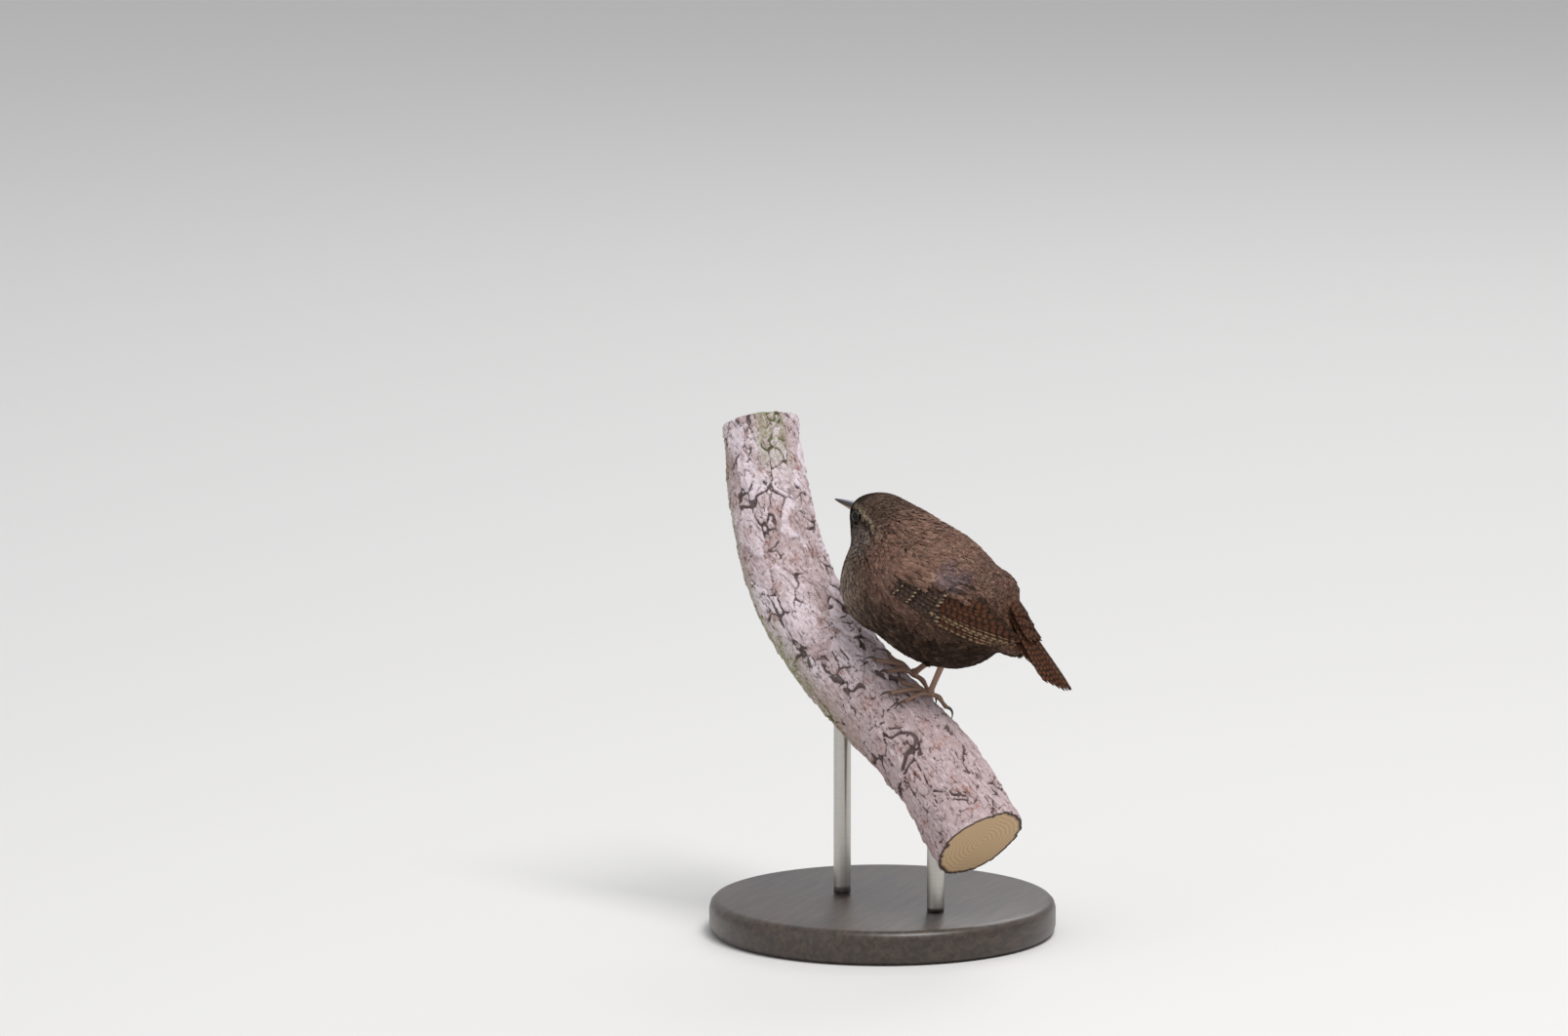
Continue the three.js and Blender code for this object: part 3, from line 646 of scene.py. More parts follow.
@piece_operator
class WREN_OT_skin(bpy.types.Operator):
    """Makes the one skin that lies under the coat of head, neck and torso"""

    bl_idname = "wren.skin"
    bl_label = "Skin"

    def execute(self, context):
        m = body_map()
        points = m.place - m.out * coat_depth(m.down[:, None], m.place)[..., None]
        every = np.concatenate([points.reshape(-1, 3), [points[0].mean(0), points[-1].mean(0)]])
        down, around = (a.ravel() for a in np.meshgrid(m.down, m.around, indexing="ij"))
        down, around = np.append(down, [0, 1]), np.append(around, [0, 0])
        colour = markings(every, down, around) * 0.7
        faces = ring_faces(MAP_ROWS, MAP_COLUMNS, flip=True)
        piece = make_mesh("skin", every, faces, uv=skin_unwrap(down, around), colour=colour)
        settle(piece, plumage_finish(), "back", "head", "neck", "torso")
        return {"FINISHED"}


def skin_unwrap(down, around):
    return np.stack([around / (2 * np.pi) + 0.5, down], -1) * 0.98 + 0.01


def coat_depth(down, points):
    """How far the skin lies under the coat's surface: least on the face."""
    full = settings("wren_coat").depth / MM
    face = smooth(4.5, 8.5, head_local(points)[..., 1])
    head = smooth(0.32, 0.16, down)
    depth = full * (1 - 0.55 * head) * (1 - 0.45 * face * head)
    return np.maximum(depth, 0.3)


@cache
def plumage_finish():
    f = Finish("plumage", roughness=0.85, specular_ior_level=0.12, sheen_weight=0.03)
    colour = f.add("ShaderNodeAttribute", {"attribute_name": "plumage"}, output="Color")
    grain = f.noise(0.22, 3, 0.6)
    shade = f.add("ShaderNodeCombineColor", None, {channel: grain + 0.45 for channel in range(3)})
    f.bump(f.noise(0.12, 2), 0.25, 0.1)
    return f.set(base_color=f.mix(colour, shade, 0.75, "MULTIPLY"))


COAT_START, COAT_END = 0.012, 0.957  # where the first and last rows of small feathers lie


class CoatRows:
    """Roots of small feathers in staggered rows round the bird, from bill to tail."""

    def __init__(self, rng):
        m = body_map()
        sizes = settings("wren_coat")
        rows, down = [], COAT_START
        while down < COAT_END:
            gap = self.gap(down, sizes)
            ring = m.read(m.girth, np.full(MAP_COLUMNS, down), m.around)
            steps = ring * (2 * np.pi / MAP_COLUMNS)
            total = steps.sum()
            count = max(5, int(total / (gap * 1.02)))
            wanted = (np.arange(count) + rng.uniform(0, 1) + rng.uniform(-0.3, 0.3, count)) * total / count
            lengths = np.concatenate([[0], np.cumsum(steps)])
            angles = np.interp(wanted % total, lengths, np.append(m.around, np.pi))
            jitter = rng.uniform(-0.55, 0.55, count) * gap
            stretch = m.read(m.stretch, np.full(count, down), angles)
            rows.append(np.stack([down + jitter / stretch, angles], -1))
            middle = np.median(m.read(m.stretch, np.full(MAP_COLUMNS, down), m.around))
            down += gap / middle
        self.roots = np.clip(np.concatenate(rows), [0.006, -9], [0.99, 9])

    @staticmethod
    def gap(down, sizes):
        full = sizes.row_gap / MM
        return full * (0.42 + 0.58 * float(smooth(0.12, 0.42, down)))


STEPS = 9  # parts of a small feather's shaft
VANE_SHARE = 0.62  # how far out along a small feather's half width the barbs begin
PATCH = 0.003  # width of a small feather's patch in the map for baking


def over_wing(points):
    """How far sideways a feather over the wing's upper or front edge is pushed, to lie on top of it."""
    along, across = wing_place(points)
    x, y, z = np.moveaxis(points, -1, 0)
    upper = smooth(12.9, 11.4, across) * smooth(5.2, 7.2, across)
    upper = upper * smooth(-1, 1.5, along) * smooth(30, 24, along)
    front = smooth(-0.8, 1.2, along) * smooth(7, 4, along)
    front = front * smooth(-0.5, 1, across) * smooth(12.5, 10.5, across)
    room = sheet_side(y, z) - np.abs(x) + 1.85 - 0.7 * smooth(12, 21, along)
    return np.sign(x) * np.maximum(room, 0) * np.maximum(upper, front) * (np.abs(x) > 5)


def small_feathers(down, around, length, width, rise, rng):
    """Points, triangles and maps of many small feathers whose edges are split into barbs."""
    m = body_map()
    count = len(down)
    stretch = m.read(m.stretch, down, around)
    girth = np.maximum(m.read(m.girth, down, around), 0.6)
    drift = rng.normal(0, 0.2, count)
    share = np.linspace(0, 1, STEPS + 1)
    ahead, aside = length / stretch * np.cos(drift), length / girth * np.sin(drift)
    for _ in range(3):  # shortens or lengthens each step over the map until the feather has its own length
        path_down = down[:, None] + share * ahead[:, None]
        path_around = around[:, None] + share * aside[:, None]
        at = m.read(m.place, np.clip(path_down, 0, 0.99), path_around)
        actual = np.linalg.norm(np.diff(at, axis=1), axis=-1).sum(1)
        ahead, aside = (v * np.clip(length / np.maximum(actual, 0.2), 0.3, 1.3) for v in (ahead, aside))
    out = unit(m.read(m.out, np.clip(path_down, 0, 0.996), path_around))
    depth = coat_depth(down, at[:, 0])[:, None]
    height = -depth + (depth + rise[:, None]) * (share**0.75)[None]
    shaft = at + out * height[..., None]
    layer = rng.uniform(0.86, 1.22, (count, 1))
    shaft[..., 0] += over_wing(shaft) * smooth(0.0, 0.35, share) * layer
    lie = unit(np.gradient(shaft, axis=1))
    side = unit(np.cross(out, lie))
    outline = share**0.6 * np.sqrt(np.maximum(1 - share**4, 0.0)) + 0.12 * (1 - share)
    half = 0.5 * width[:, None] * outline[None]
    cup = 0.2 * width[:, None]
    points, places, webs = [shaft], [np.tile(share, (count, 1))], [np.zeros((count, STEPS + 1))]
    for sign in (-1, 1):
        vane = shaft + sign * side * (half * VANE_SHARE)[..., None] - out * (cup * 0.3 * outline)[..., None]
        fray = rng.uniform(0.55, 1.35, (count, STEPS))
        reach = 0.5 * (half[:, :-1] + half[:, 1:])
        barbs = (vane[:, :-1] + vane[:, 1:]) / 2 + sign * side[:, 1:] * (reach * 0.5 * fray + 0.04)[..., None]
        barbs = barbs + lie[:, 1:] * (length[:, None] * 0.13 * fray)[..., None]
        barbs = barbs - out[:, 1:] * (cup * 0.3)[..., None]
        points += [vane, barbs]
        places += [np.tile(share, (count, 1)), np.tile(share[:-1] + 0.2, (count, 1))]
        webs += [np.full((count, STEPS + 1), VANE_SHARE * sign), np.full((count, STEPS), 1.0 * sign)]
    per = [p.shape[1] for p in points]
    total = sum(per)
    starts = np.concatenate([[0], np.cumsum(per)[:-1]])
    triangles = []
    for branch_at, flip in ((1, False), (3, True)):
        s, vane, barb = starts[0], starts[branch_at], starts[branch_at + 1]
        for k in range(STEPS):
            web_near, web_far = (s + k, s + k + 1, vane + k + 1), (s + k, vane + k + 1, vane + k)
            corner = [web_near, web_far, (vane + k, vane + k + 1, barb + k)]
            if k == 0:
                corner = corner[:2]
            if k == STEPS - 1:
                corner = corner[1:]
            triangles += [tuple(reversed(c)) if flip else c for c in corner]
    triangles = np.array(triangles)
    every, place, web = (np.concatenate(v, 1) for v in (points, places, webs))
    faces = (np.arange(count)[:, None, None] * total + triangles[None]).reshape(-1, 3)
    uv = skin_unwrap(down, around)[:, None] + PATCH * np.stack([web * 0.5, np.minimum(place, 1) - 0.5], -1)
    return every, faces, uv, place, web


def under_wing(points):
    """True where the folded wings cover the body, well inside their edges."""
    along, across = wing_place(points)
    middle = np.interp(along, [3, 8, 20, 30, 38], [4.6, 5.4, 5.4, 4.6, 3.0])
    half = np.interp(along, [1.5, 4, 10, 24, 30, 36], [0, 2.4, 4.2, 4.2, 2.0, 0])
    return (np.abs(across - middle) < half) & (np.abs(points[..., 0]) > 6)


COAT_PARTS = {
    "coat_face": (0.0, 0.12, "crown"),
    "coat_crown": (0.12, 0.21, "crown"),
    "coat_nape": (0.21, 0.31, "nape"),
    "coat_shoulders": (0.31, 0.43, "back"),
    "coat_breast_and_mantle": (0.43, 0.56, "back"),
    "coat_flanks_and_back": (0.56, 0.7, "back"),
    "coat_rump_and_belly": (0.7, 1.0, "back"),
}


@piece_operator
class WREN_OT_coat(bpy.types.Operator):
    """Makes the small feathers of head and body over the skin"""

    bl_idname = "wren.coat"
    bl_label = "Coat"

    def execute(self, context):
        sizes = settings("wren_coat")
        rng = np.random.default_rng(sizes.seed)
        roots = CoatRows(rng).roots
        m = body_map()
        place = m.read(m.place, roots[:, 0], roots[:, 1])
        local = head_local(place)
        eyes = np.min([np.linalg.norm(place - eye_place(s), axis=-1) for s in (1, -1)], axis=0)
        keep = ~under_wing(place) & (eyes > EYE_RADIUS + 0.5)
        bill = (local[:, 1] > 8.9) & (np.abs(local[:, 0]) < 1.5) & (np.abs(local[:, 2] - BILL_LOW) < 1.6)
        roots, place, local = roots[keep & ~bill], place[keep & ~bill], local[keep & ~bill]
        down, around = roots.T
        turned = np.abs(around)
        head, full = sizes.head_length / MM, sizes.body_length / MM
        length = head + (full - head) * smooth(0.2, 0.48, down)
        length *= 1 - 0.5 * smooth(2.5, 7, local[:, 1]) * smooth(0.25, 0.15, down)
        length *= 1 + 0.2 * smooth(1.8, 2.6, turned) * smooth(0.4, 0.6, down)
        length *= rng.uniform(0.82, 1.18, len(down))
        width = length * (0.33 + 0.04 * smooth(0.3, 0.2, down)) * rng.uniform(0.85, 1.15, len(down))
        rise = 0.03 + 0.16 * smooth(0.2, 0.5, down) * rng.uniform(0, 1, len(down)) ** 2
        for name, (first, last, slot) in COAT_PARTS.items():
            here = (down >= first) & (down < last)
            every, faces, uv, share, web = small_feathers(
                down[here], around[here], length[here], width[here], rise[here], rng
            )
            root = markings(place[here], down[here], around[here])[:, None]
            spread = (np.repeat(v[here][:, None], every.shape[1], 1) for v in (down, around))
            own = markings(every, *spread, share)
            colour = self.barred(0.6 * root + 0.4 * own, share, web, down[here], around[here], rng)
            piece = make_mesh(name, every, [faces], uv=uv, colour=colour)
            settle(piece, plumage_finish(), slot)
        return {"FINISHED"}

    @staticmethod
    def barred(colour, share, web, down, around, rng):
        """Darker roots and shafts, paler edges, and dark bars that are strongest on flanks and rump."""
        c = settings("wren_colours")
        dark = linear(c.bars)
        head = smooth(0.33, 0.2, down)
        under = smooth(1.6, 2.2, np.abs(around))
        strength = 0.25 + 0.5 * smooth(0.5, 0.66, down) + 0.25 * under * smooth(0.4, 0.55, down)
        phase = rng.uniform(-0.25, 0.25, (len(down), 1))
        wave = 0.5 + 0.5 * np.cos(2 * np.pi * (share * 2.1 + phase))
        bar = smooth(0.5, 0.95, wave) * np.clip(strength * (1 - head), 0, 0.75)[:, None]
        root = smooth(0.5, 0.05, share) * (0.65 - 0.3 * under * smooth(0.5, 0.35, down))[:, None]
        shaft = (1 - smooth(0.1, 0.6, np.abs(web))) * (0.25 + 0.3 * head)[:, None]
        tone = rng.normal(1.05, 0.27, (len(down), 1)) + rng.normal(0, 0.2, share.shape)
        tone = np.clip(tone, 0.35, 2.0) * (0.9 + 0.3 * np.abs(web))
        mixed = colour * tone[..., None]
        return mixed + (dark - mixed) * np.clip(np.maximum(np.maximum(bar, root), shaft), 0, 1)[..., None]


# Wings and tail


WRIST, WING_SLOPE = np.array([-7.0, 31.0]), angle(27)
SHEET = (18.6, 27.6, 20.6)
TIP_HALF = 4.2


def wing_place(points):
    """Distances along and across the wing for points, as seen from the side."""
    y, z = points[..., 1] - WRIST[0], points[..., 2] - WRIST[1]
    c, s = np.cos(WING_SLOPE), np.sin(WING_SLOPE)
    return y * c - z * s, y * s + z * c


def sheet_side(y, z):
    axes = body_axes(TORSO_PITCH)
    dy, dz = y - TORSO_MID[1], z - TORSO_MID[2]
    ring = sum(((dy * axes[i, 1] + dz * axes[i, 2]) / SHEET[i]) ** 2 for i in (1, 2))
    bend = 0.6
    inner = np.sqrt(np.maximum(1 - ring, 0))
    outer = np.sqrt(1 - bend) - (ring - bend) / (2 * np.sqrt(1 - bend))
    level = np.where(ring < bend, inner, outer)
    return TIP_HALF + 2 * np.logaddexp(0, (SHEET[0] * level - TIP_HALF) / 2)


def on_wing(along, across, height):
    """A point of the left wing."""
    c, s = np.cos(WING_SLOPE), np.sin(WING_SLOPE)
    y = WRIST[0] + along * c + across * s
    z = WRIST[1] - along * s + across * c
    e = 0.05
    slope_y = (sheet_side(y + e, z) - sheet_side(y - e, z)) / (2 * e)
    slope_z = (sheet_side(y, z + e) - sheet_side(y, z - e)) / (2 * e)
    out = unit(np.stack([np.ones_like(y), -slope_y, -slope_z], -1))
    return np.stack([sheet_side(y, z), y, z], -1) + out * height[..., None]


TAIL_ROOT, TAIL_SLOPE = np.array([0.0, 28.0, 24.2]), angle(53)
TAIL_LENGTH, TAIL_HALF, TAIL_TENT = 28.5, 6.2, 2.2


def on_tail(along, across, height):
    down = np.array([0, np.cos(TAIL_SLOPE), -np.sin(TAIL_SLOPE)])
    out = np.array([0, np.sin(TAIL_SLOPE), np.cos(TAIL_SLOPE)])
    lift = height - TAIL_TENT * (across / TAIL_HALF) ** 2
    side = np.array([1.0, 0, 0])
    return TAIL_ROOT + along[..., None] * down + lift[..., None] * out + across[..., None] * side


ALONG, ACROSS = 26, 8  # parts of a large feather's mesh


class Quill:
    """One large feather: where it starts and ends on its sheet, its size and its slant."""

    def __init__(self, root, tip, half, lift, outer, sunk, slant, bow, kind, thick=0.1):
        self.root, self.tip, self.half, self.lift = np.array(root, float), np.array(tip, float), half, lift
        self.outer, self.sunk, self.slant, self.bow = outer, sunk, slant, bow
        self.kind, self.thick = kind, thick


def quill_mesh(sheet, quill, rng):
    """Both faces of a feather's vane with a raised shaft and a few splits in its edges."""
    q = quill
    share = np.linspace(0, 1, ALONG + 1)
    way = q.tip - q.root
    length = np.linalg.norm(way)
    sideways = np.array([-way[1], way[0]]) / length
    web = np.linspace(-1, 1, ACROSS + 1)
    rounded = np.sqrt(np.clip(1 - np.clip((share - 0.8) / 0.2, 0, 1) ** 2.2, 0, 1))
    outline = np.maximum(np.minimum(1, (share + 0.12) ** 0.5) * rounded, 0.02)
    reach = np.where(web[None] * q.outer > 0, 0.8, 1.1) * outline[:, None] * q.half
    split = 1 - 0.16 * (rng.uniform(0, 1, (ALONG + 1, ACROSS + 1)) > 0.82) * (np.abs(web)[None] > 0.95)
    c = web[None] * reach * split
    a = share[:, None] * length - 0.25 * np.abs(web)[None] * q.half
    bow = q.bow * 4 * share * (1 - share)
    along = q.root[0] + way[0] / length * a + sideways[0] * (c + bow[:, None])
    across = q.root[1] + way[1] / length * a + sideways[1] * (c + bow[:, None])
    height = q.lift - q.sunk * (1 - share[:, None]) ** 3 + q.outer * web[None] * q.slant * outline[:, None]
    height = height + 0.13 * np.exp(-((web[None] / 0.12) ** 2)) - 0.18 * web[None] ** 2 * q.half / 2
    top = sheet(along, across, height)
    low = sheet(along, across, height - q.thick)
    points = np.concatenate([top.reshape(-1, 3), low.reshape(-1, 3)])
    n, k = ALONG + 1, ACROSS + 1
    i, j = np.meshgrid(np.arange(n - 1), np.arange(k - 1), indexing="ij")
    face = np.stack([i * k + j, (i + 1) * k + j, (i + 1) * k + j + 1, i * k + j + 1], -1).reshape(-1, 4)
    under = face[:, ::-1] + n * k
    down_one_side, down_other = np.arange(n) * k, np.arange(n - 2, -1, -1) * k + k - 1
    rim = np.concatenate([down_one_side, (n - 1) * k + np.arange(1, k), down_other, np.arange(k - 2, 0, -1)])
    after = np.roll(rim, -1)
    edge = np.stack([rim, rim + n * k, after + n * k, after], -1)
    shift = a + rng.uniform(0, 3)
    vane = np.stack([np.broadcast_to(v, (n, k)) for v in (web[None] * q.outer, shift)], -1).reshape(-1, 2)
    kind = np.stack([np.full(n * k, q.kind), np.repeat(share, k)], -1)
    return points, np.concatenate([face, under, edge]), np.tile(vane, (2, 1)), np.tile(kind, (2, 1))


def quill_object(name, sheet, quills, rng, mirror=False):
    """One piece of many large feathers; each has its own patch in the map for baking."""
    points, faces, vanes, kinds, patches, offset = [], [], [], [], [], 0
    columns = int(np.ceil(len(quills) ** 0.5))
    for index, quill in enumerate(quills):
        p, f, vane, kind = quill_mesh(sheet, quill, rng)
        if mirror:
            p, f = p * [-1, 1, 1], f[:, ::-1]
        half = len(p) // 2
        cell = np.array([index % columns, index // columns])
        local = np.stack([vane[:, 0] * 0.2 + 0.25, kind[:, 1] * 0.9 + 0.05], -1)
        local[half:, 0] += 0.5
        patches.append((cell + local) / columns)
        points.append(p)
        faces.append(f + offset)
        vanes.append(vane)
        kinds.append(kind)
        offset += len(p)
    maps = {"Vane": np.concatenate(vanes), "Kind": np.concatenate(kinds)}
    return make_mesh(name, np.concatenate(points), [np.concatenate(faces)], np.concatenate(patches), maps)


def row(count, roots, tips, half, lift, kind, rng, outer=-1, sunk=0.9, slant=0.4, bow=0.0):
    made = []
    for i in range(count):
        t = i / max(count - 1, 1)
        root = np.array(roots[0]) + (np.array(roots[1]) - roots[0]) * t
        tip = np.array(tips[0]) + (np.array(tips[1]) - tips[0]) * t
        if len(tips) > 2:
            tip = tip + np.array(tips[2]) * 4 * t * (1 - t)
        tip = tip + rng.normal(0, 0.28, 2)
        own_half, own_lift = half * rng.uniform(0.9, 1.1), lift + rng.uniform(-0.06, 0.06)
        own_kind = kind + 0.01 * rng.uniform()
        made.append(Quill(root, tip, own_half, own_lift, outer, sunk, slant, bow, own_kind))
    return made


# The number that each row of large feathers has in the Kind map
PRIMARY, SECONDARY, GREATER, MEDIAN, LESSER = 0.05, 0.15, 0.25, 0.35, 0.45
RECTRIX, TAIL_TOP, TAIL_UNDER = 0.55, 0.65, 0.75

# A wing's tiers: how many feathers, their first and last root, their first and last tip and the bow between
# those, half a feather's width, lift over the sheet, kind, and what else differs
WING_TIERS = [
    (7, [[8, 1.2], [12, 4.4]], [[34.5, 0.2], [42, 3.9], [1.5, 0]], 1.75, 0.15, PRIMARY, {"bow": -0.2}),
    (8, [[10, 4.0], [14, 10]], [[39, 4.7], [25.5, 11.2]], 2.0, 0.5, SECONDARY, {"slant": 0.5, "bow": 0.3}),
    (3, [[9, 1.2], [10, 3]], [[21.5, 0.6], [20, 2.6]], 1.2, 0.65, GREATER, {}),
    (9, [[6.5, 1.8], [9, 10]], [[18.5, 1.3], [20, 11]], 1.45, 0.95, GREATER, {"slant": 0.45}),
    (8, [[3, 2], [5, 9]], [[11, 1.6], [13.5, 10.4]], 1.35, 1.35, MEDIAN, {"slant": 0.4}),
    (7, [[0.5, 2.6], [2.5, 8]], [[6.6, 2.0], [9.2, 9.4]], 1.3, 1.55, LESSER, {"slant": 0.3}),
]
# The coverts over and under the tail: how many, length, spread, lift, kind, and how far the roots sink
TAIL_TIERS = [
    (9, 10.5, 3.8, 1.0, TAIL_TOP, 0),
    (8, 6.5, 3.6, 1.45, TAIL_TOP, 0),
    (7, 3, 3.3, 1.9, TAIL_TOP, 0),
    (8, 19, 4.2, -1.7, TAIL_UNDER, 2),
    (8, 16, 4.4, -2.2, TAIL_UNDER, 3),
    (7, 13, 4.2, -2.7, TAIL_UNDER, 3),
    (7, 9, 4.0, -3.3, TAIL_UNDER, 3),
]


@cache
def flight_finish():
    """Rufous feathers with dark bars; the kind map says how strong, pale and spotted each row is."""
    c = settings("wren_colours")
    f = Finish("flight_feathers", roughness=0.66, specular_ior_level=0.16, sheen_weight=0.02)
    web, along = f.map("Vane")
    kind, share = f.map("Kind")
    wobble = f.noise(1.3, 2) - 0.5
    covert = kind.over(0.2, 0.24) * (1 - kind.over(0.48, 0.5))
    under_tail = kind.over(0.7, 0.72)
    bars = ((along * 3.7 + wobble * 4.4 + web.size() * -1.1).sine()).over(0.0, 0.6)
    patchy = f.noise(2.4, 3).over(0.25, 0.6) * 0.5 + 0.5
    outer = web.over(-0.3, 0.1)
    # The inner webs take the belly's tone, which holds painted shade.
    ground = f.mix(paint(c.belly), paint(c.flight), outer * 0.8 + 0.15)
    ground = f.mix(ground, COVERT_BROWN, covert * 0.8)
    ground = f.mix(ground, paint(c.flecks), f.noise(0.7, 3).over(0.52, 0.75) * (covert * 0.35 + 0.1))
    edge = web.over(0.58, 0.9) * (1 - kind.over(0.09, 0.11))
    pale = f.mix(ground, paint(c.spots), edge * 0.7)
    dark = f.mix(pale, paint(c.bars), bars * patchy * (0.9 - covert * 0.35 - under_tail * 0.2))
    shaft_line = 1 - (web - 0.1).size().over(0.12, 0.42)
    spot = share.over(0.85, 0.91) * (1 - share.over(0.955, 0.985)) * covert * shaft_line
    spot = spot * f.noise(2.2, 1).over(0.36, 0.5)
    tipped = f.mix(dark, paint(c.spots), spot * 0.9)
    dot = share.over(0.89, 0.93) * (1 - share.over(0.975, 0.99)) * (1 - web.size().over(0.8, 1.0))
    tipped = f.mix(tipped, TIP_WHITE, dot * under_tail * 0.9)
    shaft = 1 - web.size().over(0.03, 0.1)
    shafted = f.mix(tipped, paint(c.bars), shaft * 0.45)
    barbs = ((web.size() * 26 + along * 24).sine() + 1) * 0.5
    streak = f.mix(shafted, SOOT, f.noise(0.4, 3).over(0.48, 0.72) * 0.4)
    f.bump(barbs * 0.6 + f.noise(0.25, 2) * 0.4, 0.35, 0.06)
    return f.set(base_color=streak)


@piece_operator
class WREN_OT_wings(bpy.types.Operator):
    """Makes both folded wings, tier over tier, on the pads that the solids give them"""

    bl_idname = "wren.wings"
    bl_label = "Wings"

    def execute(self, context):
        for side, mirror in (("left", False), ("right", True)):
            rng = np.random.default_rng(21 if mirror else 20)
            quills = [quill for *tier, extra in WING_TIERS for quill in row(*tier, rng, **extra)]
            piece = quill_object(f"wing_{side}_feathers", on_wing, quills, rng, mirror)
            settle(piece, flight_finish(), "wing", f"wing_{side}")
        return {"FINISHED"}


@piece_operator
class WREN_OT_tail(bpy.types.Operator):
    """Makes the twelve tail feathers and the coverts over and under them"""

    bl_idname = "wren.tail"
    bl_label = "Tail"

    def execute(self, context):
        rng = np.random.default_rng(33)
        quills = []
        for side in (-1, 1):
            for i in range(6):
                t = (i + 0.5) / 6
                tip = [TAIL_LENGTH - 6 * t**2 + rng.normal(0, 0.2), side * 5.9 * t]
                root = [-4, side * 2.4 * t]
                quills.append(Quill(root, tip, 1.7, 0.3 - 0.15 * i, side, 0, 0.3, 0, RECTRIX, 0.12))
        for count, length, spread, lift, kind, sunk in TAIL_TIERS:
            for i in range(count):
                t = 2 * i / (count - 1) - 1
                side = 1 if t >= 0 else -1
                tip = [length + 1.5 * (1 - t * t) + rng.normal(0, 0.45), t * spread + rng.normal(0, 0.15)]
                start = -6 if lift > 0 else -1
                quills.append(Quill([start, t * 2.4], tip, 1.3, lift, side, sunk, 0.2, 0, kind, 0.1))
        piece = quill_object("tail_feathers", on_tail, quills, rng)
        settle(piece, flight_finish(), "tail", "tail")
        return {"FINISHED"}


# Head: eyes, lids and bill


EYE_FORWARD, EYE_UP, EYE_RADIUS, EYE_SUNK = 3.8, 0.9, 1.75, 0.85


def eye_place(side):
    out = np.arange(0, 12, 0.02)
    at = head_point(np.full(out.shape, EYE_FORWARD), side * out, np.full(out.shape, EYE_UP))
    return at[np.argmax(form_distance(at) >= -EYE_SUNK)]


def ball(middle, radius, rings=24, sides=36, pole=UP):
    pole = unit(np.array(pole, float))
    one = unit(np.cross(pole, [0.3, 0.2, 1.0]))
    two = np.cross(pole, one)
    polar = np.linspace(0.02, np.pi - 0.02, rings)
    path = middle + np.multiply.outer(np.cos(polar) * radius, pole)
    turn = np.linspace(0, 2 * np.pi, sides, endpoint=False)
    rings_at = path[:, None] + radius * np.sin(polar)[:, None, None] * (
        np.cos(turn)[None, :, None] * one + np.sin(turn)[None, :, None] * two
    )
    points = np.concatenate([rings_at.reshape(-1, 3), [middle + pole * radius, middle - pole * radius]])
    share = np.concatenate([np.repeat(polar / np.pi, sides), [0, 1]])
    turned = np.concatenate([np.tile(turn / (2 * np.pi), rings), [0, 0]])
    return points, *ring_faces(rings, sides, flip=True), np.stack([turned, share], -1)


@piece_operator
class WREN_OT_eyes(bpy.types.Operator):
    """Makes the dark eyes and the lids round them"""

    bl_idname = "wren.eyes"
    bl_label = "Eyes and lids"

    def execute(self, context):
        f = Finish("eye", roughness=0.2, specular_ior_level=0.16, coat_weight=0.08, coat_roughness=0.03)
        share = f.map("OFBake")[1]
        iris = f.mix(PUPIL, IRIS, share.over(0.17, 0.2))
        eye = f.set(base_color=iris)
        g = Finish("lid", roughness=0.7)
        lid = g.set(base_color=g.mix(LID_PALE, LID_DARK, g.noise(0.3)))
        for side, name in ((1, "left"), (-1, "right")):
            middle = eye_place(side)
            out = unit(LEFT * side + FORWARD * 0.22)
            points, quads, triangles, uv = ball(middle, EYE_RADIUS, pole=out)
            piece = make_mesh(f"eye_{name}_ball", points, [quads, triangles], uv=uv)
            settle(piece, eye, "eye", f"eye_{name}")
            turn = np.linspace(0, 2 * np.pi, 48)
            tall = unit(TOP - (TOP @ out) * out)
            fore = np.cross(tall, out)
            ring = EYE_RADIUS * 0.86
            path = middle + out * EYE_RADIUS * 0.5 + np.multiply.outer(np.cos(turn) * ring * 0.93, tall)
            path = path + np.multiply.outer(np.sin(turn) * ring * 1.06, fore)
            radii = 0.12 + 0.05 * np.cos(turn) ** 2
            points, quads, triangles, uv = tube(path, radii, 10, side_hint=out)
            settle(make_mesh(f"lid_{name}", points, [quads, triangles], uv=uv * [1, 0.09]), lid, "crown")
        return {"FINISHED"}


BILL_FROM, BILL_LENGTH, BILL_LOW, BILL_HALF = 8.8, 10.6, 0.2, 1.75
BILL_UPPER, BILL_LOWER, BILL_DROOP = 1.9, 1.5, 0.5


